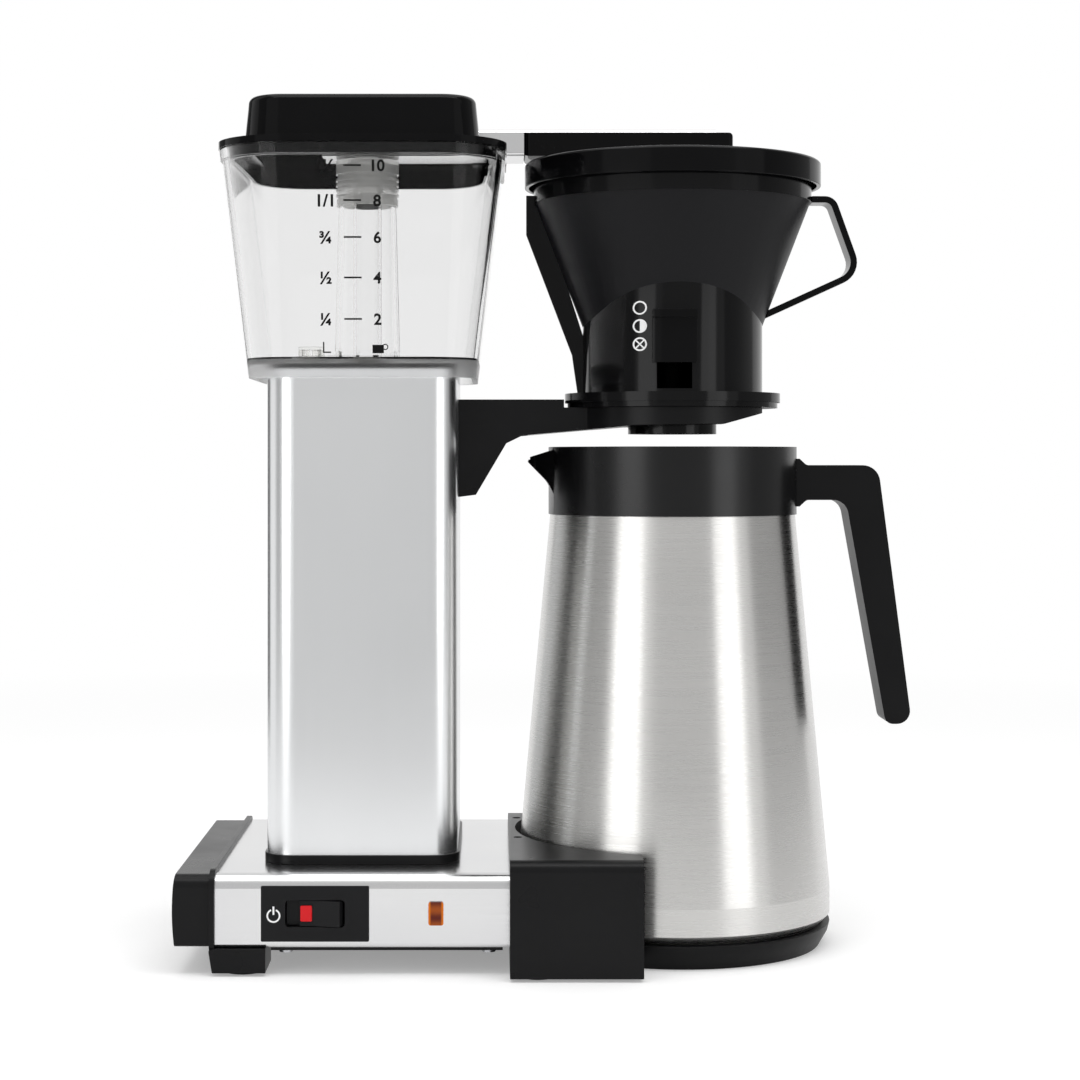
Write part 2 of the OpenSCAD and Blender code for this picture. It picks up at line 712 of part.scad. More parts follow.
// Heater: a copper tube bent into a U, held in a cast block
heater_tube_radius = 5;
heater_low = sleeve_z + 48;
heater_high = sleeve_z + 178;
block_z = [sleeve_z + 62, sleeve_z + 152];
block_half = 9;
module heater_tube() place() color("#b87333") {
    for (x = [riser_x, valve_x]) translate([x, 0, 0])
        tube(heater_low, heater_high, heater_tube_radius, heater_tube_radius - 1);
    translate([(riser_x + valve_x) / 2, 0, heater_low]) rotate([90, 0, 0]) rotate([0, 0, 180])
        rotate_extrude(angle = 180) translate([(riser_x - valve_x) / 2, 0]) difference() {
            circle(heater_tube_radius);
            circle(heater_tube_radius - 1);
        }
}

module heater_block() place() color("#9a9c9f") difference() {
    translate([(riser_x + valve_x) / 2, 0, block_z[0]]) linear_extrude(block_z[1] - block_z[0])
        rounded(riser_x - valve_x + 2 * block_half, 2 * block_half, 6);
    for (x = [riser_x, valve_x]) translate([x, 0, 0])
        disc(block_z[0] - over, block_z[1] + over, heater_tube_radius + 0.05);
    translate([(riser_x + valve_x) / 2, 0, 0]) disc(block_z[0] - over, block_z[1] + over, 4);
}

module heater_bracket() place() color("#a8aaae") {
    wall_y = column_depth / 2 - sheet;
    mid = (block_z[0] + block_z[1]) / 2;
    translate([valve_x + 4, block_half, mid - 20]) cube([20, 1.5, 40]);
    translate([valve_x + 4, block_half, mid - 0.75]) cube([20, wall_y - block_half, 1.5]);
    translate([valve_x + 4, wall_y - 1.5, mid - 0.75]) cube([20, 1.5, 20]);
}

module thermostat() place() color("#d8d8d4") translate([(riser_x + valve_x) / 2, -block_half, block_z[1] - 18])
    rotate([90, 0, 0]) {
        cylinder(h = 3, r = 8);
        cylinder(h = 8, r = 6.5);
        for (x = [-3.5, 3.5]) translate([x - 0.4, -3, 7.9]) cube([0.8, 6, 7]);
    }

// Soft hoses pushed over the ends of the heater
hose_wall = 2.2;
hose_grip = 12;
valve_nipple_z = tank_under - 16;
riser_foot_z = tank_under - 18;
module inlet_hose() place() color("#c9c4bc") translate([valve_x, 0, 0])
    tube(heater_high - hose_grip, valve_nipple_z + hose_grip - 2, heater_tube_radius + nest_gap + hose_wall,
        heater_tube_radius + nest_gap);

module riser_hose() place() color("#c9c4bc") translate([riser_x, 0, 0]) difference() {
    disc(heater_high - hose_grip, riser_foot_z + hose_grip - 2, riser_radius + nest_gap + hose_wall);
    disc(heater_high - hose_grip - over, heater_high + over, heater_tube_radius + nest_gap);
    disc(heater_high, riser_foot_z, riser_radius - riser_wall);
    disc(riser_foot_z - 0.01, riser_foot_z + hose_grip + over, riser_radius + nest_gap);
}

// ---------------------------------------------------------------- tank

// The tank and its lid are drawn from the rim, which is Z = 0 for them
function lean_at(z) = tank_lean * (1 + z / tank_height);
// The tank's outer form between two heights, shrunk by an inset
module tank_form(z0, z1, inset) translate([0, 0, z0])
    leaning_box(tank_foot + 2 * lean_at(z0) - 2 * inset, tank_foot_depth + 2 * lean_at(z0) - 2 * inset,
        tank_foot_round + lean_at(z0) - inset, lean_at(z1) - lean_at(z0), z1 - z0);

bead_height = 5;
ring_radius = 38.5;
ring_height = 1.6;
module tank() place() color("#dfe6ea", 0.35) translate([0, 0, rim_z]) difference() {
    union() {
        difference() {
            union() {
                tank_form(-tank_height, 0, 0);
                tank_form(-bead_height, 0, -1);
            }
            tank_form(-tank_deep, over, tank_wall);
            tank_form(-tank_height - over, -tank_height + tank_skirt, tank_wall);
        }
        tube(-tank_deep - 0.01, ring_height - tank_deep, ring_radius, ring_radius - 1.6);
    }
    translate([riser_x, 0, 0]) disc(-tank_height, over - tank_deep, riser_radius + hose_wall);
    translate([valve_x, 0, 0]) disc(-tank_height, over - tank_deep, valve_radius + nest_gap);
}

module check_valve() place() color("#e8e8e4") translate([valve_x, 0, 0]) difference() {
    union() {
        disc(tank_under - 4, floor_z + 0.01, valve_radius);
        disc(floor_z, floor_z + 2, valve_radius + 2.6);
        disc(floor_z + 1.9, floor_z + 7, valve_radius - 1.8);
        disc(valve_nipple_z, tank_under - 3.9, heater_tube_radius);
    }
    disc(valve_nipple_z - over, floor_z + 5, heater_tube_radius - 1.6);
    for (turn = [0 : 45 : 135]) rotate(turn) translate([-valve_radius, -0.8, floor_z + 2.6])
        cube([2 * valve_radius, 1.6, 3]);
}

module riser_grommet() place() color("#d9d6cf") translate([riser_x, 0, 0]) difference() {
    union() {
        disc(tank_under - 2, floor_z + 2, riser_radius + hose_wall - nest_gap / 2);
        disc(floor_z, floor_z + 2, riser_radius + hose_wall + 2);
    }
    disc(tank_under - 3, floor_z + 3, riser_radius + nest_gap / 2);
}

riser_top = arm_z + arm_height - arm_wall - 4;
module riser_tube() place() color("#e6eef0", 0.3) translate([riser_x, 0, 0])
    tube(riser_foot_z, riser_top, riser_radius, riser_radius - riser_wall);

// The sleeve stands round the riser and its soft collar closes it at the top
collar_radius = sleeve_radius + collar_rib;
collar_z = rim_z - collar_height;
sleeve_end = collar_z + 5;
module riser_sleeve() place() color("#dfe6ea", 0.3) translate([riser_x, 0, floor_z]) difference() {
    cylinder(h = sleeve_end - floor_z, r1 = sleeve_radius + sleeve_flare, r2 = sleeve_radius);
    translate([0, 0, -0.01]) cylinder(h = sleeve_end - floor_z + 0.02, r1 = sleeve_radius + sleeve_flare - thin_wall,
        r2 = sleeve_radius - thin_wall);
    for (turn = [0, 90])
        rotate(turn) translate([-2 * sleeve_radius, -3, -over]) cube([4 * sleeve_radius, 6, 5 + over]);
}

module riser_collar() place() color("#eceae4") translate([riser_x, 0, 0]) difference() {
    union() {
        disc(collar_z, rim_z, collar_radius - 0.7);
        disc(collar_z + collar_height * 0.7, rim_z, collar_radius);
        disc(collar_z, collar_z + collar_height * 0.15, collar_radius - 0.3);
        for (i = [0 : 3])
            disc(collar_z + collar_height * (0.22 + 0.11 * i), collar_z + collar_height * (0.27 + 0.11 * i),
            collar_radius);
    }
    disc(collar_z - over, sleeve_end, sleeve_radius + 0.25);
    disc(collar_z, rim_z + over, riser_radius + nest_gap / 2);
}

// ---------------------------------------------------------------- tank lid

plug_inset = tank_wall + nest_gap + 0.6;
lid_foot = tank_rim - 2 * lid_step;
// Crown of the lid: turned corners joined by two prisms, all of one profile with a round top edge
module lid_cap(inset, top) {
    w = lid_foot / 2 - inset;
    d = w + tank_deeper / 2;
    r = lid_round - inset;
    low = lid_flange - over / 2;
    edge = lid_edge - inset;
    fall = lid_draft * (top - low) / lid_raise;
    for (x = [-1, 1], y = [-1, 1]) translate([x * (w - r), y * (d - r), 0]) rotate_extrude()
        outline([[0, low, 0], [r, low, 0], [r - fall, top, edge], [0, top, 0]]);
    along_x(r - w, w - r) outline([[-d, low, 0], [d, low, 0], [d - fall, top, edge], [fall - d, top, edge]]);
    along_y(r - d, d - r) outline([[-w, low, 0], [w, low, 0], [w - fall, top, edge], [fall - w, top, edge]]);
}

module tank_lid() place() color("#141416") translate([0, 0, rim_z]) difference() {
    union() {
        linear_extrude(lid_flange)
            rounded(tank_rim + 2.6, tank_rim + tank_deeper + 2.6, tank_foot_round + tank_lean + 1.3);
        tank_form(-lid_plug, over / 2, plug_inset);
        lid_cap(0, lid_flange + lid_raise);
    }
    tank_form(-lid_plug - over, 0, plug_inset + thin_wall);
    translate([0, 0, -over]) linear_extrude(lid_flange + over)
        rounded(lid_foot - 2 * thin_wall, lid_foot + tank_deeper - 2 * thin_wall, lid_round - thin_wall);
    lid_cap(thin_wall, lid_flange + lid_raise - thin_wall);
    // way for the outlet arm, open underneath
    translate([0, -arm_depth / 2 - slide_gap, -lid_plug - over])
        cube([tank_rim, arm_depth + 2 * slide_gap, nest_gap + arm_clear + arm_height + slide_gap + lid_plug + over]);
}

// ---------------------------------------------------------------- outlet arm

cover_x0 = brew_x - cover_before;
cover_x1 = brew_x + cover_past;
arm_x1 = brew_x + arm_past;
module arm_hollow(gap) translate([0, 0, (arm_z + arm_top) / 2])
    rotate([90, 0, 90]) linear_extrude(cover_x1) rounded(arm_depth - 2 * arm_wall - 2 * gap,
        arm_height - 2 * arm_wall - 2 * gap, 1);

module outlet_arm() place() color("#c9cacd") difference() {
    translate([0, 0, (arm_z + arm_top) / 2]) along_x(-arm_left, arm_x1) rounded(arm_depth, arm_height, 2);
    translate([arm_wall - arm_left, 0, 0]) arm_hollow(0);
    translate([cover_x0, -arm_depth, arm_z - over]) cube([arm_x1, 2 * arm_depth, arm_height - arm_wall + over]);
    translate([riser_x, 0, 0]) disc(arm_z - over, arm_z + arm_wall + over, riser_radius + slide_gap);
}

// Block under the open end of the arm, which spreads the hot water through its nozzle
block_top = arm_top - arm_wall;
nozzle_hole = 12;
module spray_block() place() color("#1a1a1c") difference() {
    union() {
        intersection() {
            translate([0, 0, arm_z]) linear_extrude(block_top - arm_z)
                translate([(cover_x0 + cover_x1) / 2, 0]) rounded(cover_x1 - cover_x0, arm_depth, 3);
            along_y(-arm_depth, arm_depth) translate([(cover_x0 + cover_x1) / 2, (arm_z + block_top) / 2])
                rounded(cover_x1 - cover_x0, block_top - arm_z, 2);
        }
        intersection() {
            arm_hollow(slide_gap);
            translate([cover_x0 - 14, -arm_depth, arm_z]) cube([16, 2 * arm_depth, arm_height]);
        }
    }
    translate([cover_x0 - 15, cover_wall - arm_depth / 2, arm_z + cover_wall])
        cube([cover_x1 - cover_x0 + 15 - cover_wall, arm_depth - 2 * cover_wall,
            arm_height - 2 * cover_wall - 0.6]);
    translate([brew_x, 0, 0]) disc(arm_z - over, arm_z + cover_wall + over, nozzle_hole);
}

module spray_nozzle() place() color("#151517") translate([brew_x, 0, 0]) difference() {
    union() {
        disc(arm_z - nozzle_drop, arm_z, nozzle_hole + 1.6);
        disc(arm_z - 0.01, arm_z + cover_wall, nozzle_hole - nest_gap);
    }
    disc(arm_z - nozzle_drop + 1, arm_z + cover_wall + over, nozzle_hole - 2);
    for (ring = [0, 1], i = [0 : 5 + 6 * ring]) rotate(i * 360 / (6 + 6 * ring)) translate([4 + 4 * ring, 0, 0])
        disc(arm_z - nozzle_drop - over, arm_z, 0.8);
}

// ---------------------------------------------------------------- basket holder

column_right = column_width / 2;
holder_step = brew_x - flange_radius - 1;
fork_slot = neck_radius + 1.3;
foot_low = holder_top - holder_foot;
arm_low = holder_top - holder_thick - 4.4;
// Side of the holder: a foot on the column, a web that sweeps out, and a fork that thins to its tips
module holder_side() {
    difference() {
        polygon([
            [column_right, foot_low], [column_right, holder_top], [holder_step, holder_top],
            [holder_step, flange_z - nest_gap / 4], [brew_x + fork_radius, flange_z - nest_gap / 4],
            [brew_x + fork_radius, flange_z - 1.2], [brew_x + neck_radius, holder_top - 11.4],
            [brew_x - neck_radius, holder_top - holder_thick], [column_right + 29, arm_low],
            [column_right + 22, arm_low - 3.4], [column_right + 8, foot_low + 1]
        ]);
        translate([column_right + 6, foot_low - 2]) circle(2);
    }
}

module basket_holder() place() color("#17171a") difference() {
    intersection() {
        translate([0, 0, foot_low]) linear_extrude(holder_foot) difference() {
            union() {
                translate([column_right, -holder_width / 2]) square([brew_x - column_right, holder_width]);
                translate([brew_x, 0]) circle(fork_radius);
            }
            translate([brew_x, 0]) circle(fork_slot);
            translate([brew_x, -fork_slot]) square([fork_radius + over, 2 * fork_slot]);
        }
        along_y(-fork_radius, fork_radius) holder_side();
    }
    // hollow web behind the foot
    translate([column_right + 8, 3 - holder_width / 2, foot_low - over])
        cube([24, holder_width - 6, holder_foot - 14]);
    at_holder_screws(column_right - over) cylinder(h = over + 7, r = screw_radius + 0.05);
}

module holder_screws() place() color("#b8b8bc") at_holder_screws(column_right - sheet) difference() {
    union() {
        translate([0, 0, -1.8]) cylinder(h = 1.8, r = screw_radius + 1.8);
        translate([0, 0, -0.01]) cylinder(h = sheet + 6, r = screw_radius);
    }
    for (turn = [0, 90]) rotate(turn) translate([-2, -0.35, -1.8 - over]) cube([4, 0.7, over + 1]);
}

// ---------------------------------------------------------------- filter basket

basket_wall = 2.2;
cone_slope = (cone_top_radius - cone_foot_radius) / cone_height;
skirt_top = cone_z + (skirt_radius - cone_foot_radius) / cone_slope;
outlet_hole = 6;
// Oval plan of the skirt, shrunk by an inset: wide arcs at the sides run into tighter ones at front and back
nose_y = skirt_radius - skirt_nose;
side_round = (nose_y * nose_y + skirt_half * skirt_half - skirt_nose * skirt_nose)
    / (2 * (skirt_half - skirt_nose));
module skirt_plan(inset) {
    intersection() {
        translate([side_round - skirt_half, 0]) circle(side_round - inset);
        translate([skirt_half - side_round, 0]) circle(side_round - inset);
        square([2 * skirt_half, 2 * (side_round - inset) * nose_y / (side_round - skirt_nose)], center = true);
    }
    for (y = [-1, 1]) translate([0, y * nose_y]) circle(skirt_nose - inset);
}

// Solid outer form of the basket: cone, rim band and skirt
module basket_form() {
    translate([0, 0, cone_z]) cylinder(h = cone_height, r1 = cone_foot_radius, r2 = cone_top_radius);
    disc(band_z, basket_top, band_radius);
    translate([0, 0, flange_top - 0.01]) linear_extrude(skirt_top - flange_top) skirt_plan(0);
}

window_low = flange_top + 1.2;
window_high = cone_z - 0.2;
slider_x = -2.6;
module slider_frame(gap, depth) intersection() {
    translate([0, -nose_y]) difference() {
        circle(skirt_nose + depth);
        circle(skirt_nose + gap);
    }
    translate([slider_x - slider_width / 2, -skirt_radius - 2 * depth]) square([slider_width, skirt_radius]);
}

module filter_basket() place() color("#1d1d20") translate([brew_x, 0, 0]) difference() {
    union() {
        difference() {
            basket_form();
            // room for the coffee
            translate([0, 0, cone_z + basket_wall]) cylinder(h = cone_height - basket_wall + 0.01,
                r1 = cone_foot_radius - basket_wall + basket_wall * cone_slope, r2 = cone_top_radius - basket_wall);
            disc(band_z, basket_top + over, cone_top_radius - basket_wall);
            // room between the cone and its skirt, and under the cone's floor
            difference() {
                translate([0, 0, flange_top - over]) linear_extrude(skirt_top - flange_top + over)
                    skirt_plan(basket_wall);
                translate([0, 0, cone_z]) cylinder(h = cone_height, r1 = cone_foot_radius, r2 = cone_top_radius);
            }
        }
        difference() {
            union() {
                disc(flange_z + 2.4, flange_top, flange_radius);
                disc(flange_z, flange_z + 2.5, flange_radius - 1.2);
            }
            disc(flange_z + 2.4, flange_top + over, skirt_half - basket_wall);
        }
        disc(neck_z, flange_z + 0.01, neck_radius);
        // rib on the side towards the column
        difference() {
            along_y(-1.6, 1.6) polygon([
                [-band_radius - 3.6, basket_top - 12.6], [-band_radius - 3.6, band_z - 14],
                [-skirt_half - 5, cone_z], [-skirt_half - 2.4, flange_top - 0.5],
                [-skirt_half + 1, flange_top - 0.5], [-skirt_half + 1, cone_z + 6],
                [-band_radius + 2, basket_top - 12.6]
            ]);
            translate([0, 0, cone_z + basket_wall]) cylinder(h = cone_height - basket_wall + 0.01,
                r1 = cone_foot_radius - 1, r2 = cone_top_radius - 1);
            disc(band_z, basket_top + over, band_radius - 1);
            translate([0, 0, flange_top - over]) linear_extrude(skirt_top - flange_top) skirt_plan(1);
        }
    }
    // neck, its outlet, and the drain in the cone's floor
    disc(neck_z + 2, flange_z + 3, neck_radius - 2.4);
    disc(neck_z - over, neck_z + 3, outlet_hole);
    disc(cone_z - over, cone_z + basket_wall + over, outlet_hole + 4);
    translate([slider_x - window_width / 2, -flange_radius, window_low])
        cube([window_width, flange_radius / 2, window_high - window_low]);
}

// Loop handle, cut to the basket's form where it meets it
module basket_handle() place() color("#1a1a1c") translate([brew_x, 0, 0]) difference() {
    along_y(-loop_width / 2, loop_width / 2) strip([
        [band_radius - 8, basket_top - 14.9, 0], [band_radius + loop_reach - 14.7, basket_top - 14.9, 5],
        [band_radius + loop_reach - 2.6, band_z - 32, 9], [cone_foot_radius + 3, band_z - 53, 0]
    ], loop_thick);
    disc(band_z, basket_top, band_radius);
    translate([0, 0, cone_z]) cylinder(h = cone_height + 0.01, r1 = cone_foot_radius, r2 = cone_top_radius);
    translate([0, 0, flange_top]) linear_extrude(skirt_top - flange_top) skirt_plan(0);
}

module basket_lid() place() color("#1a1a1c") translate([brew_x, 0, 0]) difference() {
    union() {
        disc(basket_lid_top - basket_lid_height, basket_lid_top - 1, basket_lid_radius);
        translate([0, 0, basket_lid_top - 1]) cylinder(h = 1, r1 = basket_lid_radius, r2 = basket_lid_radius - 1);
    }
    difference() {
        disc(basket_lid_top - basket_lid_height - over, basket_top, basket_lid_radius - thin_wall);
        tube(basket_top - 5, basket_top + over, cone_top_radius - basket_wall - nest_gap,
            cone_top_radius - basket_wall - nest_gap - 1.8);
    }
    disc(basket_top - over, basket_lid_top + over, water_hole);
}

// ---------------------------------------------------------------- drip stop

slider_low = flange_top + slider_travel + 2.2;
slider_arm = 4;
module drip_slider() place() color("#1d1d1f") translate([brew_x, 0, 0]) {
    translate([0, 0, slider_low]) linear_extrude(slider_height) slider_frame(slide_gap, 2.4);
    translate([0, 0, slider_low + slider_height - 3.6]) linear_extrude(3.6) slider_frame(slide_gap, 2.4 + lip_reach);
    translate([0, 0, cone_z - 1 - slider_arm]) linear_extrude(slider_arm) difference() {
        union() {
            translate([slider_x - 4, -skirt_radius - 1]) square([8, skirt_radius + 1]);
            circle(6);
        }
        circle(2);
    }
}

module drip_valve() place() color("#26262a") translate([brew_x, 0, 0]) {
    disc(neck_z + 2 + slider_travel + 0.3, neck_z + 2 + slider_travel + 3.5, outlet_hole + 3);
    disc(neck_z + slider_travel, neck_z + 2 + slider_travel + 0.31, outlet_hole - 1.2);
    disc(neck_z + slider_travel + 5, cone_z - 1 - slider_arm, 4);
    disc(neck_z + slider_travel + 5, cone_z - 1.2, 2 - nest_gap / 4);
}

// ---------------------------------------------------------------- flask

bend_z = flask_base_height + 16;
shoulder = 6;
mouth_z = collar_top - 14;
// Solid of the flask's body, shrunk by an inset: straight foot, leaning wall, shoulder and neck
module bottle(inset, z0, z1) rotate_extrude() polygon([
    [0, z0], [flask_foot_radius - inset - 4, z0], [flask_foot_radius - inset, z0 + 4],
    [flask_foot_radius - inset, bend_z], [flask_top_radius - inset, collar_low - inset],
    [flask_mouth - inset, collar_low + shoulder - inset / 2], [flask_mouth - inset, z1], [0, z1]
]);

module flask_shell() place() color("#c2c3c5") translate([brew_x, 0, 0]) difference() {
    bottle(0, flask_base_height, mouth_z);
    bottle(flask_sheet, flask_base_height + flask_sheet, mouth_z + over);
}

module flask_liner() place() color("#b4b5b8") translate([brew_x, 0, 0]) difference() {
    rotate_extrude() polygon([
        [0, flask_base_height + flask_gap], [flask_foot_radius - flask_gap - 6, flask_base_height + flask_gap],
        [flask_foot_radius - flask_gap, flask_base_height + flask_gap + 6], [flask_foot_radius - flask_gap, bend_z],
        [flask_top_radius - flask_gap, collar_low - flask_gap],
        [flask_mouth - flask_sheet - nest_gap / 2, collar_low + 3],
        [flask_mouth - flask_sheet - nest_gap / 2, mouth_z],
        [0, mouth_z]
    ]);
    rotate_extrude() polygon([
        [0, flask_base_height + flask_gap + flask_sheet],
        [flask_foot_radius - flask_gap - 6.5, flask_base_height + flask_gap + flask_sheet],
        [flask_foot_radius - flask_gap - flask_sheet, flask_base_height + flask_gap + 6.5],
        [flask_foot_radius - flask_gap - flask_sheet, bend_z],
        [flask_top_radius - flask_gap - flask_sheet, collar_low - flask_gap - 0.5],
        [flask_mouth - 2 * flask_sheet - nest_gap / 2, collar_low + 2.5],
        [flask_mouth - 2 * flask_sheet - nest_gap / 2, mouth_z + over], [0, mouth_z + over]
    ]);
}

module flask_base() place() color("#1b1b1d") translate([brew_x, 0, 0]) difference() {
    rotate_extrude() polygon([
        [0, 2], [flask_foot_radius - 9, 2], [flask_foot_radius - 8, 0], [flask_foot_radius - 5, 0],
        [flask_foot_radius - 1, flask_base_height - 4], [flask_foot_radius, flask_base_height],
        [flask_foot_radius - 4, flask_base_height], [0, flask_base_height]
    ]);
    disc(4.5, flask_base_height + over, flask_foot_radius - 11);
}

// Collar with its pouring lip; the lid turns in its mouth
lid_bore = flask_collar_radius - 5;
module collar_side() {
    tip = -flask_collar_radius - spout_reach;
    outline([
        [0, collar_top, 0], [6 - flask_collar_radius, collar_top, 14], [tip + 1.2, collar_top - spout_drop, 1],
        [tip, collar_top - spout_drop - 2.2, 0.6], [tip + 9, collar_top - 16, 14], [tip + 13, collar_top - 24, 0],
        [0, collar_low, 0]
    ]);
}
module flask_collar() place() color("#161618") translate([brew_x, 0, 0]) difference() {
    union() {
        disc(collar_low - 0.01, collar_top, flask_collar_radius);
        intersection() {
            translate([0, 0, collar_low]) linear_extrude(flask_collar_height) {
                translate([-flask_collar_radius - spout_reach + 7, 0]) circle(7);
                polygon([
                    [-flask_collar_radius - spout_reach + 4, -6.3], [-flask_collar_radius - spout_reach + 4, 6.3],
                    [4 - flask_collar_radius, 17], [4 - flask_collar_radius, -17]
                ]);
            }
            along_y(-flask_collar_radius, flask_collar_radius) collar_side();
        }
    }
    // bore for the lid, pouring channel, and the seat on the flask's neck
    disc(mouth_z, collar_top + over, lid_bore);
    translate([-flask_collar_radius - spout_reach - over, -4, collar_top - spout_drop - 1.2])
        cube([spout_reach + 20, 8, spout_drop + 1.2 + over]);
    disc(collar_low - over, collar_top, flask_mouth + nest_gap);
    disc(collar_low - over, collar_low + nest_gap, flask_top_radius);
    translate([0, 0, collar_low + nest_gap - 0.01])
        cylinder(h = shoulder + 0.01, r1 = flask_top_radius, r2 = flask_mouth);
}

grip_top = collar_top - 8.4;
arm_mid = grip_top - handle_arm / 2;
root_flare = 3;
// Side of the handle: a level arm, and a grip that leans out and narrows towards its foot
module handle_side() {
    reach = flask_collar_radius + handle_reach;
    arm_low = grip_top - handle_arm;
    outline([
        [flask_collar_radius - 4, grip_top + root_flare, 0], [flask_collar_radius + 0.4, grip_top + root_flare, 0],
        [flask_collar_radius + 3.6, grip_top, 3], [reach, grip_top, 8],
        [reach + handle_lean, arm_low - handle_drop, 6],
        [reach + handle_lean - handle_foot, arm_low - handle_drop, 4],
        [reach - handle_grip + 0.6, arm_low, 7], [flask_collar_radius + 3.6, arm_low, 3],
        [flask_collar_radius + 0.4, arm_low - root_flare, 0], [flask_collar_radius - 4, arm_low - root_flare, 0]
    ]);
}

handle_screw_z = arm_mid;
module flask_handle() place() color("#161618") translate([brew_x, 0, 0]) difference() {
    intersection() {
        along_y(-handle_width / 2, handle_width / 2) handle_side();
        translate([0, 0, collar_low - flask_shell_height]) linear_extrude(collar_top)
            translate([flask_collar_radius + 40, 0]) rounded(140, handle_width, 5);
    }
    disc(collar_low, collar_top, flask_collar_radius);
    for (y = [-1, 1]) translate([flask_collar_radius - over, y * 5, handle_screw_z]) rotate([0, 90, 0])
        cylinder(h = 12 + over, r = 1.55);
}

module handle_screws() place() color("#b8b8bc") translate([brew_x, 0, 0]) for (y = [-1, 1])
    translate([flask_collar_radius + nest_gap, y * 5, handle_screw_z])
        rotate([0, 90, 0]) cylinder(h = 11, r = 1.5);

lid_floor = mouth_z;
module flask_lid() place() color("#19191b") translate([brew_x, 0, 0]) difference() {
    union() {
        tube(lid_floor + 0.3, collar_top - 1.4, lid_bore - slide_gap, lid_bore - slide_gap - thin_wall);
        translate([0, 0, lid_floor + 0.3]) cylinder(h = thin_wall, r = lid_bore - slide_gap);
        translate([0, 0, lid_floor + 0.3]) difference() {
            cylinder(h = 9, r1 = lid_bore - 3, r2 = lid_bore - 1);
            translate([0, 0, thin_wall]) cylinder(h = 9, r1 = outlet_hole + 6, r2 = lid_bore - 3);
        }
        for (turn = [0 : 60 : 300]) rotate(turn + 30) translate([outlet_hole + 8, -1.2, lid_floor + thin_wall])
            cube([lid_bore - outlet_hole - 10, 2.4, 7]);
        disc(lid_floor - 14, lid_floor + 0.31, flask_mouth - 2 * flask_sheet - 2.4);
    }
    disc(lid_floor - 15, collar_top, outlet_hole + 1);
    disc(lid_floor - 15, lid_floor - 3, flask_mouth - 2 * flask_sheet - 2.4 - thin_wall);
}

module lid_tube() place() color("#2a2a2c") translate([brew_x, 0, 0])
    tube(flask_base_height + flask_gap + 22, lid_floor + 2, outlet_hole + 1 - nest_gap / 2, outlet_hole - 1);

module lid_gasket() place() color("#8a8a86") translate([brew_x, 0, 0])
    tube(lid_floor - 8, lid_floor - 5, flask_mouth - 2 * flask_sheet - 0.4,
        flask_mouth - 2 * flask_sheet - 2.4 + 0.05);

base_housing();
left_end_cap();
flask_bracket();
bottom_plate();
rubber_feet();
bottom_screws();
switch_plate();
switch_body();
rocker();
rocker_lens();
signal_lens();
signal_lamp();
lead_gland();
terminal_block();
column_plinth();
column_sleeve();
tank_seat();
heater_tube();
heater_block();
heater_bracket();
thermostat();
inlet_hose();
riser_hose();
tank();
check_valve();
riser_grommet();
riser_tube();
riser_sleeve();
riser_collar();
tank_lid();
outlet_arm();
spray_block();
spray_nozzle();
basket_holder();
holder_screws();
filter_basket();
basket_handle();
basket_lid();
drip_slider();
drip_valve();
flask_shell();
flask_liner();
flask_base();
flask_collar();
flask_handle();
handle_screws();
flask_lid();
lid_tube();
lid_gasket();
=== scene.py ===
"""Drip coffee maker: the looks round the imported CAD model, in metres, in the CAD model's frame."""

import json
import math

import bmesh
import bpy
from mathutils import Matrix, Vector
from mathutils.bvhtree import BVHTree

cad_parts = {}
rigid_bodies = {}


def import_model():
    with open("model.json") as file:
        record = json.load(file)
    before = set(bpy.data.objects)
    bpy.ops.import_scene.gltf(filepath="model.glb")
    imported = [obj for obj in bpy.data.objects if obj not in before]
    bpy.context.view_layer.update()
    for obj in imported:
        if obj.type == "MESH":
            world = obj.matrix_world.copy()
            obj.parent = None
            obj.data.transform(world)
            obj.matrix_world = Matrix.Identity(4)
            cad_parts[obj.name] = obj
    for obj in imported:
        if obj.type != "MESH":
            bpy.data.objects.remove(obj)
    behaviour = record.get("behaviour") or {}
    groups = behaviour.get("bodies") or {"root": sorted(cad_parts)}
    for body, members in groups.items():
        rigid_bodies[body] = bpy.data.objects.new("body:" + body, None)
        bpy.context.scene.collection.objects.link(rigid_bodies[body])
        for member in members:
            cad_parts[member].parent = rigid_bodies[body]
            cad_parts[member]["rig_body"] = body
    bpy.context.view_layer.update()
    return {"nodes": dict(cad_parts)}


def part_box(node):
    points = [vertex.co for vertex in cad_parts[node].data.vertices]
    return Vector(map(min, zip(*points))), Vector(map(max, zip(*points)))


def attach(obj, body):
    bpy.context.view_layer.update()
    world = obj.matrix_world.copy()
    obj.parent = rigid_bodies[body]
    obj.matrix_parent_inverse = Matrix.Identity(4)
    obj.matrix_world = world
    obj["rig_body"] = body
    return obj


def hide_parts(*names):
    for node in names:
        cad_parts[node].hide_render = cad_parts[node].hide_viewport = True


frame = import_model()
scene = bpy.context.scene
scene.view_settings.view_transform = "Standard"
MM = 0.001

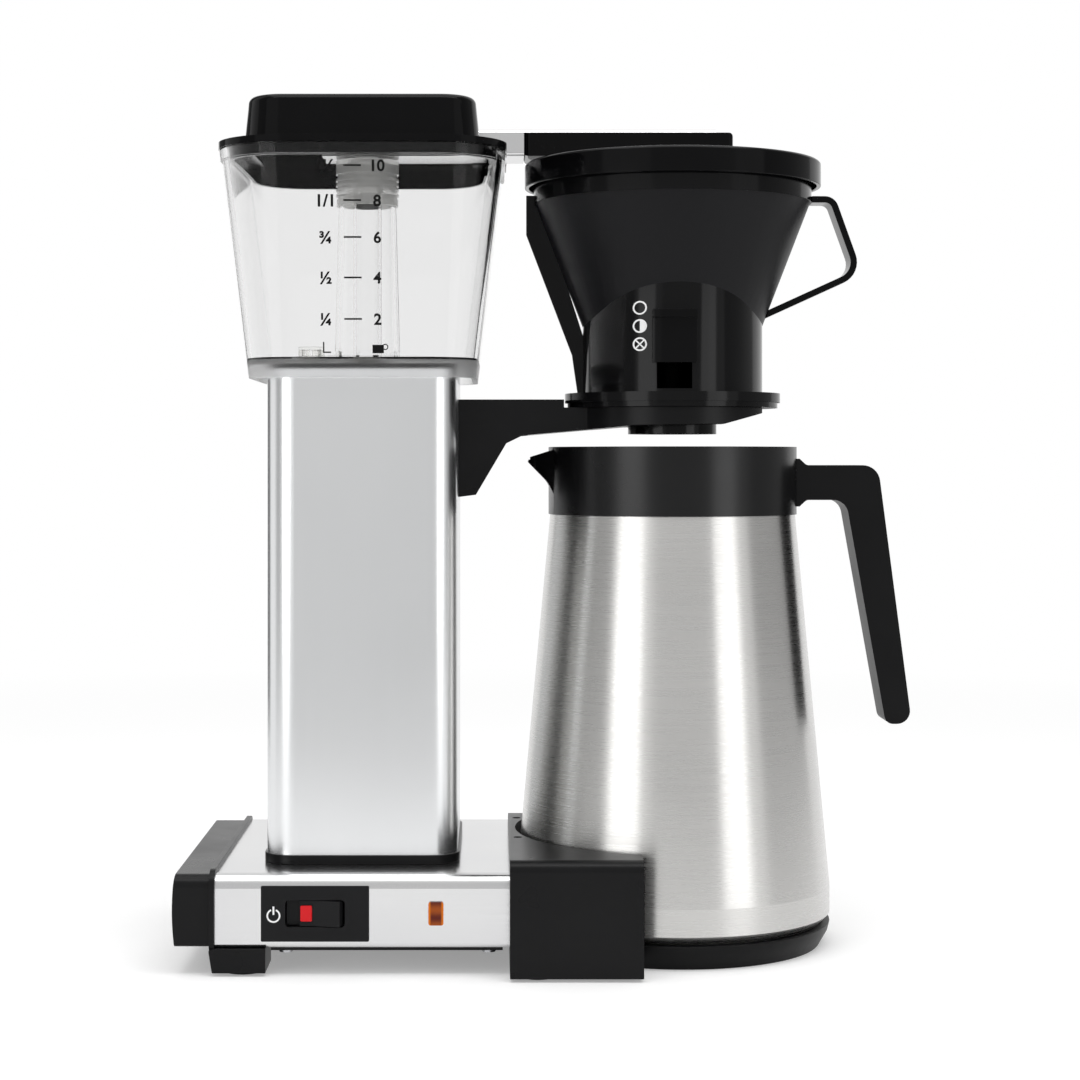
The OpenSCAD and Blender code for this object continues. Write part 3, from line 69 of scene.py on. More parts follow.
# ---- Camera
# A long lens at the height of the basket's foot, square to the front of the machine and a little
# right of its column. It is shifted sideways and down, so that upright edges stay upright.
RIGHT_OF_COLUMN = 58.3 * MM
BEFORE_COLUMN = 1064 * MM
ABOVE_TABLE = 222 * MM
FILM_WIDTH, FOCAL_LENGTH = 36, 76.33
SHIFT_SIDEWAYS, SHIFT_DOWN = 0.0435, -0.0741
column_low, column_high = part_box("column_sleeve")
column_x = (column_low[0] + column_high[0]) / 2
column_y = (column_low[1] + column_high[1]) / 2
lens = bpy.data.cameras.new("front_view")
lens.sensor_width = FILM_WIDTH
lens.lens = FOCAL_LENGTH
lens.shift_x, lens.shift_y = SHIFT_SIDEWAYS, SHIFT_DOWN
camera = bpy.data.objects.new("front_view", lens)
camera.location = (column_x + RIGHT_OF_COLUMN, column_y - BEFORE_COLUMN, ABOVE_TABLE)
camera.rotation_euler = (math.radians(90), 0, 0)
scene.collection.objects.link(camera)
scene.camera = camera

# ---- Studio
# A white table in a white room, lit by soft boxes left, right and above and by a strip light high
# in front. Grey screens stand behind the camera and at the sides, and a grey cloth lies on the
# table in front. Only mirrors see them: the metal and the black mouldings reflect them.


def linear(code):
    """An sRGB colour such as #c8c9cc as linear red, green, blue and an alpha of 1."""
    parts = [int(code[i : i + 2], 16) / 255 for i in (1, 3, 5)]
    return (*[c / 12.92 if c <= 0.04045 else ((c + 0.055) / 1.055) ** 2.4 for c in parts], 1)


def add(tree, kind, settings=(), links=()):
    """Adds a shader node.

    Settings are (socket or property, value), and links are (socket, source node, its output).
    """
    made = tree.nodes.new("ShaderNode" + kind)
    for name, value in settings:
        if isinstance(name, int) or name in made.inputs:
            made.inputs[name].default_value = value
        else:
            setattr(made, name, value)
    for name, source, output in links:
        tree.links.new(source.outputs[output], made.inputs[name])
    return made


def blank(name):
    """A new material with an empty node tree."""
    made = bpy.data.materials.new(name)
    made.use_nodes = True
    made.node_tree.nodes.clear()
    return made, made.node_tree


def seen_rays(tree):
    """1 for rays from the camera, from a mirror or through glass, 0 for those that light things."""
    path = add(tree, "LightPath")
    seen = add(tree, "Math", [("operation", "MAXIMUM")],
               [(0, path, "Is Camera Ray"), (1, path, "Is Glossy Ray")])
    return add(tree, "Math", [("operation", "MAXIMUM")],
               [(0, seen, 0), (1, path, "Is Transmission Ray")])


# The room looks white, but lights things less than a white room would, so the lamps shape them.
WHITE = linear("#ffffff")
room = bpy.data.worlds.new("white_room")
room.use_nodes = True
tree = room.node_tree
tree.nodes.clear()
seen = seen_rays(tree)
fill = add(tree, "Background", [("Color", WHITE), ("Strength", 0.68)])
back = add(tree, "Background", [("Color", WHITE), ("Strength", 1.0)])
both = add(tree, "MixShader", [], [(0, seen, 0), (1, fill, 0), (2, back, 0)])
add(tree, "OutputWorld", [], [("Surface", both, 0)])
scene.world = room

# White laminate. It takes a soft shadow under the machine and fades to the room's white further
# out, between these distances from the middle in metres. Light that falls on it bounces greyer.
FADE_START, FADE_END = 0.45, 1.4
table_white, tree = blank("white_laminate_table")
seen = seen_rays(tree)
place = add(tree, "TexCoord")
distance = add(tree, "VectorMath", [("operation", "LENGTH")], [(0, place, "Object")])
far = add(tree, "MapRange", [("From Min", FADE_START), ("From Max", FADE_END)],
          [("Value", distance, "Value")])
paint = add(tree, "BsdfDiffuse", [("Color", linear("#dcdcdc"))])
shaded = add(tree, "BsdfDiffuse", [("Color", linear("#e4e4e4"))])
glow = add(tree, "Emission", [("Color", WHITE), ("Strength", 0.3)])
near = add(tree, "AddShader", [], [(0, shaded, 0), (1, glow, 0)])
plain = add(tree, "Emission", [("Color", WHITE), ("Strength", 1.0)])
shown = add(tree, "MixShader", [], [(0, far, 0), (1, near, 0), (2, plain, 0)])
both = add(tree, "MixShader", [], [(0, seen, 0), (1, paint, 0), (2, shown, 0)])
add(tree, "OutputMaterial", [], [("Surface", both, 0)])


def sheet(name, centre, turns, width, height, material):
    """A flat sheet of the studio, turned in degrees about X and then about Z."""
    shape = bmesh.new()
    bmesh.ops.create_grid(shape, x_segments=1, y_segments=1, size=0.5)
    bmesh.ops.scale(shape, vec=(width, height, 1), verts=shape.verts)
    for turn, axis in zip(turns, "XZ"):
        turned = Matrix.Rotation(math.radians(turn), 3, axis)
        bmesh.ops.rotate(shape, matrix=turned, verts=shape.verts)
    bmesh.ops.translate(shape, vec=centre, verts=shape.verts)
    mesh = bpy.data.meshes.new(name)
    shape.to_mesh(mesh)
    shape.free()
    made = bpy.data.objects.new(name, mesh)
    mesh.materials.append(material)
    scene.collection.objects.link(made)
    return made


TABLE_SIDE = 8
sheet("table_top", (0, 0, 0), (0, 0), TABLE_SIDE, TABLE_SIDE, table_white)

# Each screen: its middle, its turns, its width and height, and how bright a mirror sees it.
for name, centre, turns, width, height, brightness in (
    ("front_screen", (0.75, -2.3, 1.0), (90, 0), 3.1, 2.6, 0.72),
    ("left_screen", (-1.2, -0.5, 1.0), (90, 68), 0.8, 2.6, 0.45),
    ("left_back_screen", (-0.72, 0.65, 1.0), (90, 50), 0.5, 2.6, 0.15),
    ("right_screen", (1.25, 0.15, 1.0), (90, -85), 1.3, 2.6, 0.45),
    ("front_cloth", (0, -1.4, 0.002), (0, 0), 3.1, 1.7, 0.64),
):
    cloth, tree = blank(name + "_cloth")
    lit = add(tree, "Emission", [("Color", WHITE), ("Strength", brightness)])
    add(tree, "OutputMaterial", [], [("Surface", lit, 0)])
    screen = sheet(name, centre, turns, width, height, cloth)
    screen.visible_camera = screen.visible_shadow = False
    screen.visible_diffuse = screen.visible_transmission = False

# Each lamp: its place, its width and height, and its power in watts. The side boxes are small and
# stand low, so that the flat lids don't mirror them, and clear plastic doesn't show any lamp.
LAMP_AIM = Vector((0, 0, 0.2))
for name, stand, size, power in (
    ("left_soft_box", (-0.9, -1.08, 0.22), (0.62, 0.4), 1.9),
    ("right_soft_box", (0.95, -0.94, 0.22), (0.5, 0.4), 1.4),
    ("top_soft_box", (0, -0.1, 1.3), (1.2, 1.0), 6.0),
    ("strip_light", (0.1, -0.55, 1.25), (1.6, 0.15), 3.6),
):
    light = bpy.data.lights.new(name, "AREA")
    light.shape = "RECTANGLE"
    light.size, light.size_y = size
    light.energy = power
    lamp = bpy.data.objects.new(name, light)
    lamp.location = stand
    lamp.visible_transmission = False
    lamp.rotation_euler = (LAMP_AIM - Vector(stand)).to_track_quat("-Z", "Y").to_euler()
    scene.collection.objects.link(lamp)

# ---- Base housing and outlet arm
# One folded sheet of aluminium, polished after folding, so it mirrors the room softly, with a faint
# drag of polishing lines along its length. The arm over the basket is a drawn tube, polished alike.


def dress(material, *names):
    """Gives CAD nodes this material alone."""
    for name in names:
        piece = frame["nodes"][name]
        piece.data.materials.clear()
        piece.data.materials.append(material)


def metal(name, colours, rough, lines, depth, settings=(), tangent=None):
    """A worked metal, whose colour and gloss wander slightly.

    Its tool marks are lines mm long along X, Y and Z and depth mm deep. A highlight is drawn out
    along circles round the tangent axis, if one is given.
    """
    cloud_width = 60 * MM
    made, tree = blank(name)
    place = add(tree, "TexCoord")
    drawn = add(tree, "Mapping", [("Scale", [1 / (length * MM) for length in lines])],
                [("Vector", place, "Object")])
    drag = add(tree, "TexNoise", [("Scale", 1.0), ("Detail", 2.0)], [("Vector", drawn, 0)])
    cloud = add(tree, "TexNoise", [("Scale", 1 / cloud_width), ("Detail", 1.0)],
                [("Vector", place, "Object")])
    most = [("From Min", 0.35), ("From Max", 0.65)]
    smooth, coarse = rough
    gloss = add(tree, "MapRange", [*most, ("To Min", smooth), ("To Max", coarse)],
                [("Value", drag, 0)])
    tint = add(tree, "MapRange", most, [("Value", cloud, 0)])
    dull, clean = colours
    tone = add(tree, "MixRGB", [("Color1", linear(dull)), ("Color2", linear(clean))],
               [("Fac", tint, 0)])
    grain = add(tree, "Bump", [("Strength", 0.2), ("Distance", depth * MM)], [("Height", drag, 0)])
    shader = add(tree, "BsdfPrincipled", [("Metallic", 1.0), *settings],
                 [("Base Color", tone, 0), ("Roughness", gloss, 0), ("Normal", grain, 0)])
    if tangent:
        round_axis = add(tree, "Tangent", [("direction_type", "RADIAL"), ("axis", tangent)])
        tree.links.new(round_axis.outputs[0], shader.inputs["Tangent"])
    add(tree, "OutputMaterial", [], [("Surface", shader, 0)])
    return made


# Polished aluminium gives soft mirror images. Its lines are really about 0.05 mm wide, too fine to
# show, and are drawn 0.7 mm wide.
polished_aluminium = metal("polished_aluminium", ("#d2d2d3", "#d6d6d6"), rough=(0.16, 0.2),
                           lines=(60, 0.7, 0.7), depth=0.005)
dress(polished_aluminium, "base_housing", "outlet_arm")

# ---- Column sleeve
# A square tube of satin anodised aluminium with round corners. The etch before anodising leaves
# an even, silky surface with the faint upright lines of the extrusion, drawn 0.8 mm wide to show.
satin_aluminium = metal("satin_anodised_aluminium", ("#e0e1e2", "#e3e4e5"), rough=(0.24, 0.26),
                        lines=(0.8, 0.8, 90), depth=0.002)
dress(satin_aluminium, "column_sleeve")

# ---- Black mouldings of the body
# Injection-moulded ABS. The end cap and the flask's bracket close the base on spigots, the plinth
# and the tank's seat close the column, and the basket's holder is screwed on. Every edge in view is
# slightly broken, so a thin light line runs along it.


def moulded(name, colours, rough, grain, depth, settings=()):
    """A moulded plastic whose colour and gloss wander slightly.

    Its bumps are grain mm apart and depth mm high.
    """
    flow_width = 30 * MM
    made, tree = blank(name)
    place = add(tree, "TexCoord")
    flow = add(tree, "TexNoise", [("Scale", 1 / flow_width), ("Detail", 3.0)],
               [("Vector", place, "Object")])
    fine = add(tree, "TexNoise", [("Scale", 1 / (grain * MM)), ("Detail", 2.0)],
               [("Vector", place, "Object")])
    most = [("From Min", 0.3), ("From Max", 0.7)]
    smooth, coarse = rough
    gloss = add(tree, "MapRange", [*most, ("To Min", smooth), ("To Max", coarse)],
                [("Value", flow, 0)])
    tint = add(tree, "MapRange", most, [("Value", flow, 0)])
    deep, pale = colours
    tone = add(tree, "MixRGB", [("Color1", linear(deep)), ("Color2", linear(pale))],
               [("Fac", tint, 0)])
    bumps = add(tree, "Bump", [("Strength", 0.25), ("Distance", depth * MM)],
                [("Height", fine, 0)])
    shader = add(tree, "BsdfPrincipled", settings,
                 [("Base Color", tone, 0), ("Roughness", gloss, 0), ("Normal", bumps, 0)])
    add(tree, "OutputMaterial", [], [("Surface", shader, 0)])
    return made


def softened(node, radius, material, sharp=35, shaded=50, segments=2):
    """A copy of a CAD node that stands for it, its edges rounded by radius mm.

    Edges that turn by more than sharp degrees are rounded. What still turns by more than shaded
    degrees afterwards is shaded as an edge.
    """
    weld, flat = 0.002 * MM, math.radians(1)
    source = frame["nodes"][node]
    shape = bmesh.new()
    shape.from_mesh(source.data)
    bmesh.ops.remove_doubles(shape, verts=shape.verts, dist=weld)
    bmesh.ops.dissolve_limit(shape, angle_limit=flat, verts=shape.verts, edges=shape.edges)
    edges = [e for e in shape.edges
             if e.is_manifold and e.calc_face_angle(0) > math.radians(sharp)]
    bmesh.ops.bevel(shape, geom=edges, offset=radius * MM, offset_type="OFFSET", segments=segments,
                    profile=0.5, affect="EDGES", clamp_overlap=True, material=-1)
    mesh = bpy.data.meshes.new("soft_" + node)
    shape.to_mesh(mesh)
    shape.free()
    for face in mesh.polygons:
        face.use_smooth = True
    mesh.set_sharp_from_angle(angle=math.radians(shaded))
    mesh.materials.clear()
    mesh.materials.append(material)
    piece = bpy.data.objects.new("soft_" + node, mesh)
    scene.collection.objects.link(piece)
    even = piece.modifiers.new("even_shading", "WEIGHTED_NORMAL")
    even.keep_sharp = True
    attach(piece, source["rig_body"])
    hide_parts(node)


# The spark-eroded mould gives a satin black that takes broad, dim highlights. Its grain is really
# about 0.1 mm, too fine to show, and is drawn 0.7 mm wide.
LOW_GLARE = ("Specular IOR Level", 0.14)
satin_black = moulded("spark_eroded_abs", ("#101011", "#141415"), rough=(0.26, 0.32), grain=0.7,
                      depth=0.008, settings=[LOW_GLARE])
for node, radius in (
    ("left_end_cap", 0.5), ("flask_bracket", 0.6), ("column_plinth", 0.4), ("tank_seat", 0.4),
    ("basket_holder", 0.5), ("lead_gland", 0.3),
):
    softened(node, radius, satin_black)
dress(satin_black, "bottom_plate", "switch_body", "spray_nozzle", "lid_tube")

# ---- Glossy black mouldings
# The lids, the spray block and the basket's handle and slider are ABS from polished moulds. The
# tank's lid has a wider round at its edges than the others.

# Polished ABS is a deep black with sharp, dim mirror images. Its bumps, 8 mm apart, stand for the
# slight waviness of a moulded wall, which bends those images.
gloss_black = moulded("polished_abs", ("#060607", "#09090a"), rough=(0.09, 0.13), grain=8,
                      depth=0.01, settings=[("Specular IOR Level", 0.1)])
for node, radius in (
    ("tank_lid", 1.2), ("spray_block", 0.4), ("basket_lid", 0.4), ("basket_handle", 0.4),
    ("drip_slider", 0.3), ("flask_lid", 0.4),
):
    softened(node, radius, gloss_black)

# ---- Switch
# A satin ABS plate in the front with a rocker on a pin. The rocker's window is red polycarbonate.
# The on-off sign, a ring open at the top with a bar in the gap, is pad-printed in white.

# Satin ABS is greyer and duller than the mouldings round it. Its grain is really about 0.1 mm, too
# fine to show, and is drawn 0.6 mm wide.
switch_black = moulded("satin_abs", ("#151516", "#18181a"), rough=(0.34, 0.4), grain=0.6,
                       depth=0.01, settings=[LOW_GLARE])
softened("switch_plate", 0.25, switch_black)
softened("rocker", 0.2, switch_black)


def ring(flat, x, z, outer, stroke):
    """A flat ring in X and Z: its centre, outer radius and stroke in mm."""
    spot = Matrix.Translation((x * MM, 0, z * MM)) @ Matrix.Rotation(math.pi / 2, 4, "X")
    disc = bmesh.ops.create_circle(flat, cap_ends=True, radius=outer * MM, segments=64,
                                   matrix=spot)
    face = disc["verts"][0].link_faces[0]
    bmesh.ops.inset_individual(flat, faces=[face], thickness=stroke * MM)
    bmesh.ops.delete(flat, geom=[face], context="FACES_ONLY")


def bar(flat, x, z, width, height, turn=0):
    """A flat bar in X and Z about its centre, turned by turn degrees: sizes in mm.

    It has eight cells along its width, so that it can follow a round wall.
    """
    spot = Matrix.Translation((x * MM, 0, z * MM)) @ Matrix.Rotation(math.radians(turn), 4, "Y")
    upright = Matrix.Rotation(math.pi / 2, 4, "X")
    spot = spot @ upright @ Matrix.Diagonal((width * MM, height * MM, 1, 1))
    bmesh.ops.create_grid(flat, x_segments=8, y_segments=1, size=0.5, matrix=spot)


def ink(name, colours):
    """Printing ink: flat, even and slightly broken at its edge by the surface under it."""
    return moulded(name, colours, rough=(0.45, 0.6), grain=0.4, depth=0.01, settings=[LOW_GLARE])


# A film of ink is 0.05 mm thick, and a fifth of that is sunk into what it is printed on.
FILM_TOP, FILM_FOOT = -0.04 * MM, 0.01 * MM


def print_on(name, flat, node, material):
    """Presses a flat drawing in X and Z onto the front of a CAD node, as a film of ink."""
    before, inwards = -1, Vector((0, 1, 0))
    target = frame["nodes"][node]
    skin = BVHTree.FromPolygons([v.co for v in target.data.vertices],
                                [f.vertices for f in target.data.polygons])
    film = bmesh.ops.extrude_face_region(flat, geom=flat.faces[:])
    proud = {v for v in film["geom"] if isinstance(v, bmesh.types.BMVert)}
    for point in flat.verts:
        hit = skin.ray_cast(Vector((point.co.x, before, point.co.z)), inwards)[0]
        point.co.y = hit.y + (FILM_TOP if point in proud else FILM_FOOT)
    bmesh.ops.recalc_face_normals(flat, faces=flat.faces)
    mesh = bpy.data.meshes.new(name)
    flat.to_mesh(mesh)
    flat.free()
    mesh.materials.append(material)
    piece = bpy.data.objects.new(name, mesh)
    scene.collection.objects.link(piece)
    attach(piece, target["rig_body"])


# Pad-printing ink is a flat white. The sign's sizes are in mm.
white_ink = ink("white_pad_ink", ("#f2f2f2", "#fafafa"))
SIGN_LEFT_OF_MIDDLE = 17.8
RING_DROP, RING_RADIUS, RING_STROKE = 0.8, 3.0, 0.72
GAP_HALF_WIDTH = 0.9
BAR_RISE, BAR_WIDTH, BAR_HEIGHT = 1.4, 0.8, 3.6
plate_low, plate_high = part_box("switch_plate")
sign_x = (plate_low[0] + plate_high[0]) / 2 / MM - SIGN_LEFT_OF_MIDDLE
sign_z = (plate_low[2] + plate_high[2]) / 2 / MM
on_sign = bmesh.new()
ring(on_sign, sign_x, sign_z - RING_DROP, RING_RADIUS, RING_STROKE)
gap = [f for f in on_sign.faces
       if abs(f.calc_center_median().x / MM - sign_x) < GAP_HALF_WIDTH
       and f.calc_center_median().z / MM > sign_z]
bmesh.ops.delete(on_sign, geom=gap, context="FACES")
bar(on_sign, sign_x, sign_z + BAR_RISE, BAR_WIDTH, BAR_HEIGHT)
print_on("on_off_sign", on_sign, "switch_plate", white_ink)

# Red polycarbonate from a polished mould is a deep, glossy red.
red = moulded("red_polycarbonate", ("#d4141c", "#de1e26"), rough=(0.1, 0.16), grain=3, depth=0.02,
              settings=[("Specular IOR Level", 0.2)])
dress(red, "rocker_lens")

# ---- Signal lamp
# A ribbed amber lens pressed into the front, with a small glass bulb behind it. Its rim has a
# painted orange glow for the light it carries out. Its middle is painted darker, as painted shade
# where the eye looks into the bulb's hole, crossed by painted bands of light.
# The rim's painted orange glow fades in between these distances inside the lens's sides, and the
# painted bands of light and shade repeat at this pitch.
GLOW_RIM_INSIDE, GLOW_RIM_FULL = 1.2 * MM, 0.5 * MM
PAINTED_BAND_PITCH = 7 * MM
amber, tree = blank("amber_polycarbonate")
place = add(tree, "TexCoord")
lens_low, lens_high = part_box("signal_lens")
lens_half = (lens_high[0] - lens_low[0]) / 2
lens_mid = [-(a + b) / 2 for a, b in zip(lens_low, lens_high)]
middle = add(tree, "Mapping", [("Location", lens_mid)], [("Vector", place, "Object")])
split = add(tree, "SeparateXYZ", [], [("Vector", middle, 0)])
side = add(tree, "Math", [("operation", "ABSOLUTE")], [(0, split, "X")])
# Painted glow: the lens's rim is painted orange, as if lit by the bulb behind it.
painted_glow_rim = add(tree, "MapRange",
          [("From Min", lens_half - GLOW_RIM_INSIDE), ("From Max", lens_half - GLOW_RIM_FULL)],
          [("Value", side, 0)])
# Painted light and shade: bands up the lens alternate between a painted shade of dark brown and a
# painted highlight of lighter amber.
turned = add(tree, "Math", [("operation", "MULTIPLY"), (1, 2 * math.pi / PAINTED_BAND_PITCH)],
             [(0, split, "Z")])
painted_light_bands = add(tree, "Math", [("operation", "SINE")], [(0, turned, 0)])
painted_band_light = add(tree, "MapRange", [("From Min", -1.0), ("From Max", 1.0)], [("Value", painted_light_bands, 0)])
painted_light_and_shade = add(tree, "MixRGB", [("Color1", linear("#5e1a08")), ("Color2", linear("#a04a0c"))],
           [("Fac", painted_band_light, 0)])
# The painted orange glow is laid over the rim.
tone = add(tree, "MixRGB", [("Color2", linear("#d8700c"))], [("Fac", painted_glow_rim, 0), ("Color1", painted_light_and_shade, 0)])
shader = add(tree, "BsdfPrincipled", [("Roughness", 0.12), ("Specular IOR Level", 0.2)],
             [("Base Color", tone, 0)])
add(tree, "OutputMaterial", [], [("Surface", shader, 0)])
dress(amber, "signal_lens")

# ---- Rubber
# The feet sit in recesses under the base, and the drip valve closes the basket's outlet. Both are
# pressed from black rubber, whose skin is dull and dusty, with next to no highlight.
rubber = moulded("black_rubber", ("#1a1a1a", "#222222"), rough=(0.65, 0.8), grain=0.5, depth=0.03,
                 settings=[LOW_GLARE])
dress(rubber, "rubber_feet", "drip_valve")

# ---- Filter basket
# Moulded from ABS in one piece: the cone is finely grained and satin, and the band, skirt and
# flange are polished. Signs for open, half open and shut are pad-printed on the skirt.

# What leans downwards is the cone, where the grain breaks up the highlight that the polished parts
# keep. The real grain is about 0.1 mm, too fine to show, and is drawn 0.7 mm wide.
LEAN_START, LEAN_FULL = -0.15, -0.25
GRAIN_WIDTH, GRAIN_DEPTH = 0.7 * MM, 0.04 * MM
basket_black, tree = blank("grained_and_polished_abs")
place = add(tree, "TexCoord")
way = add(tree, "SeparateXYZ", [], [("Vector", place, "Normal")])
cone = add(tree, "MapRange", [("From Min", LEAN_START), ("From Max", LEAN_FULL)],
           [("Value", way, "Z")])
fine = add(tree, "TexNoise", [("Scale", 1 / GRAIN_WIDTH), ("Detail", 2.0)],
           [("Vector", place, "Object")])
gloss = add(tree, "MapRange", [("To Min", 0.12), ("To Max", 0.42)], [("Value", cone, 0)])
tone = add(tree, "MixRGB", [("Color1", linear("#0c0c0d")), ("Color2", linear("#161618"))],
           [("Fac", cone, 0)])
grains = add(tree, "Math", [("operation", "MULTIPLY"), (1, 0.4)], [(0, cone, 0)])
bumps = add(tree, "Bump", [("Distance", GRAIN_DEPTH)],
            [("Height", fine, 0), ("Strength", grains, 0)])
shader = add(tree, "BsdfPrincipled", [LOW_GLARE],
             [("Base Color", tone, 0), ("Roughness", gloss, 0), ("Normal", bumps, 0)])
add(tree, "OutputMaterial", [], [("Surface", shader, 0)])
softened("filter_basket", 0.4, basket_black, sharp=16, shaded=22)

# The signs are an open ring, a ring with its right half filled and a crossed ring, at these heights
# above the table in mm.
SIGNS_LEFT_OF_MIDDLE = 17.8
OPEN_Z, HALF_Z, SHUT_Z = 289.8, 281.7, 273.6
SIGN_RADIUS, SIGN_STROKE = 3.07, 0.72
HALF_RADIUS = 2.6
CROSS_LENGTH, CROSS_STROKE = 5.0, 0.6
lid_low, lid_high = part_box("basket_lid")
signs_x = (lid_low[0] + lid_high[0]) / 2 / MM - SIGNS_LEFT_OF_MIDDLE
signs = bmesh.new()
spot = Matrix.Translation((signs_x * MM, 0, HALF_Z * MM)) @ Matrix.Rotation(math.pi / 2, 4, "X")
bmesh.ops.create_circle(signs, cap_ends=True, radius=HALF_RADIUS * MM, segments=48, matrix=spot)
bmesh.ops.bisect_plane(signs, geom=signs.verts[:] + signs.edges[:] + signs.faces[:], dist=1e-7,
                       plane_co=(signs_x * MM, 0, 0), plane_no=(1, 0, 0), clear_inner=True)
for z in (OPEN_Z, HALF_Z, SHUT_Z):
    ring(signs, signs_x, z, SIGN_RADIUS, SIGN_STROKE)
for turn in (45, -45):
    bar(signs, signs_x, SHUT_Z, CROSS_LENGTH, CROSS_STROKE, turn)
print_on("drip_stop_signs", signs, "filter_basket", white_ink)

# ---- Tank
# Clear SAN, moulded in one piece and polished, but left slightly matt round its skirt, where it
# slides over the seat. The scale is screen-printed in black on the leaning front.


def see_through(name, colour, ior, rough, shade, matt=None, mirror=1.0, milk=0.0):
    """A clear plastic or glass, slightly wavy.

    It dims the lamps' red, green and blue to the shares shade, mirrors by the share mirror, is
    milky by the share milk, and is matt below a height of matt mm.
    """
    ripple_width, ripple_depth = 25 * MM, 0.02 * MM
    matt_rough = 0.45
    made, tree = blank(name)
    place = add(tree, "TexCoord")
    ripple = add(tree, "TexNoise", [("Scale", 1 / ripple_width), ("Detail", 1.0)],
                 [("Vector", place, "Object")])
    wave = add(tree, "Bump", [("Strength", 0.1), ("Distance", ripple_depth)],
               [("Height", ripple, 0)])
    body = add(tree, "BsdfPrincipled",
               [("Base Color", linear(colour)), ("Roughness", rough), ("IOR", ior),
                ("Transmission Weight", 1 - milk), ("Specular Tint", (mirror, mirror, mirror, 1))],
               [("Normal", wave, 0)])
    if matt:
        height = add(tree, "SeparateXYZ", [], [("Vector", place, "Object")])
        low = add(tree, "MapRange",
                  [("From Min", matt * MM), ("From Max", (matt - 1) * MM), ("To Min", rough),
                   ("To Max", matt_rough)], [("Value", height, "Z")])
        tree.links.new(low.outputs[0], body.inputs["Roughness"])
    path = add(tree, "LightPath")
    pane = add(tree, "BsdfTransparent", [("Color", (*shade, 1))])
    both = add(tree, "MixShader", [], [(0, path, "Is Shadow Ray"), (1, body, 0), (2, pane, 0)])
    add(tree, "OutputMaterial", [], [("Surface", both, 0)])
    return made


# Polished SAN is water-clear. A low mirror share keeps the room from whitening its sides.
MATT_BELOW = 267
clear_san = see_through("clear_san", "#f4f4f4", ior=1.5, rough=0.0, shade=(0.9, 0.9, 0.9),
                        matt=MATT_BELOW, mirror=0.2)
dress(clear_san, "tank")

# The glass riser, its clear sleeve and the lamp's bulb are thinner, and dim light less.
clear_tube = see_through("clear_tube", "#ffffff", ior=1.47, rough=0.0,
                         shade=(0.95, 0.95, 0.95), mirror=0.3)
dress(clear_tube, "riser_sleeve", "riser_tube", "signal_lamp")


def lettering(flat, text, x, z, height):
    """Adds text in X and Z, centred on x and z, its tallest letter height mm tall.

    Its strokes are fattened a little, as those of printed letters are.
    """
    curve = bpy.data.curves.new("lettering", "FONT")
    curve.body = text
    curve.align_x = "CENTER"
    curve.resolution_u = 6
    curve.offset = 0.028
    typed = bpy.data.objects.new("lettering", curve)
    scene.collection.objects.link(typed)
    bpy.context.view_layer.update()
    mesh = bpy.data.meshes.new_from_object(typed)
    bpy.data.objects.remove(typed)
    part = bmesh.new()
    part.from_mesh(mesh)
    bpy.data.meshes.remove(mesh)
    bmesh.ops.remove_doubles(part, verts=part.verts, dist=1e-5)
    top = max(v.co.y for v in part.verts)
    bmesh.ops.translate(part, vec=(0, -top / 2, 0), verts=part.verts)
    size = height * MM / top
    bmesh.ops.scale(part, vec=(size, size, size), verts=part.verts)
    bmesh.ops.rotate(part, matrix=Matrix.Rotation(math.pi / 2, 3, "X"), verts=part.verts)
    bmesh.ops.translate(part, vec=(x * MM, 0, z * MM), verts=part.verts)
    done = bpy.data.meshes.new("lettering")
    part.to_mesh(done)
    part.free()
    flat.from_mesh(done)
    bpy.data.meshes.remove(done)


# The scale has litres left of each dash and cups right of it, at heights above the table in mm. At
# its foot stand an L, made of two bars, and a cup, made of a bar with a ring for its handle.
LITRES_X, DASH_X, CUPS_X = -14.7, -3, 7.8
LITRES_HEIGHT, CUPS_HEIGHT = 5.2, 4.87
DASH_WIDTH, DASH_HEIGHT = 7.7, 0.75
scale_x = column_x / MM
scale = bmesh.new()
for z, litres, cups in (
    (350.2, "1¼", "10"), (335.2, "1/1", "8"), (319.3, "¾", "6"), (301.8, "½", "4"),
    (283.8, "¼", "2"),
):
    bar(scale, scale_x + DASH_X, z, DASH_WIDTH, DASH_HEIGHT)
    lettering(scale, litres, scale_x + LITRES_X, z, LITRES_HEIGHT)
    lettering(scale, cups, scale_x + CUPS_X, z, CUPS_HEIGHT)
bar(scale, scale_x - 16.0, 271.4, width=0.6, height=4.8)
bar(scale, scale_x - 14.4, 269.3, width=3.2, height=0.6)
bar(scale, scale_x + 7.9, 270.7, width=5.0, height=3.7)
ring(scale, scale_x + 11.0, 271.6, outer=1.35, stroke=0.45)

# Screen-printing ink is a dense black.
black_ink = ink("black_screen_ink", ("#040404", "#070707"))
print_on("tank_scale", scale, "tank", black_ink)

# ---- Water path
# Hoses of silicone lead from the tank's ball valve to the heater, a copper tube cast into
# aluminium, and from there to the riser, which a soft collar closes at the top. Screws and bracket
# are zinc-plated steel.

# Clear silicone is milky: it lets light through but shows only a blurred shape behind it.
silicone = see_through("milky_silicone", "#f4f4f2", ior=1.41, rough=0.1,
                       shade=(0.85, 0.85, 0.84), mirror=0.5, milk=0.35)
dress(silicone, "riser_collar")

# Filled silicone is an even, pale grey with a soft sheen.
pale = moulded("silicone", ("#dedcd6", "#e8e6e0"), rough=(0.35, 0.45), grain=1, depth=0.02)
dress(pale, "inlet_hose", "riser_hose", "riser_grommet", "lid_gasket")

# Uncoloured polypropylene in a thin wall is clear with a slight haze.
natural = see_through("natural_polypropylene", "#fbfbf9", ior=1.49, rough=0.12,
                      shade=(0.9, 0.9, 0.89))
dress(natural, "check_valve")

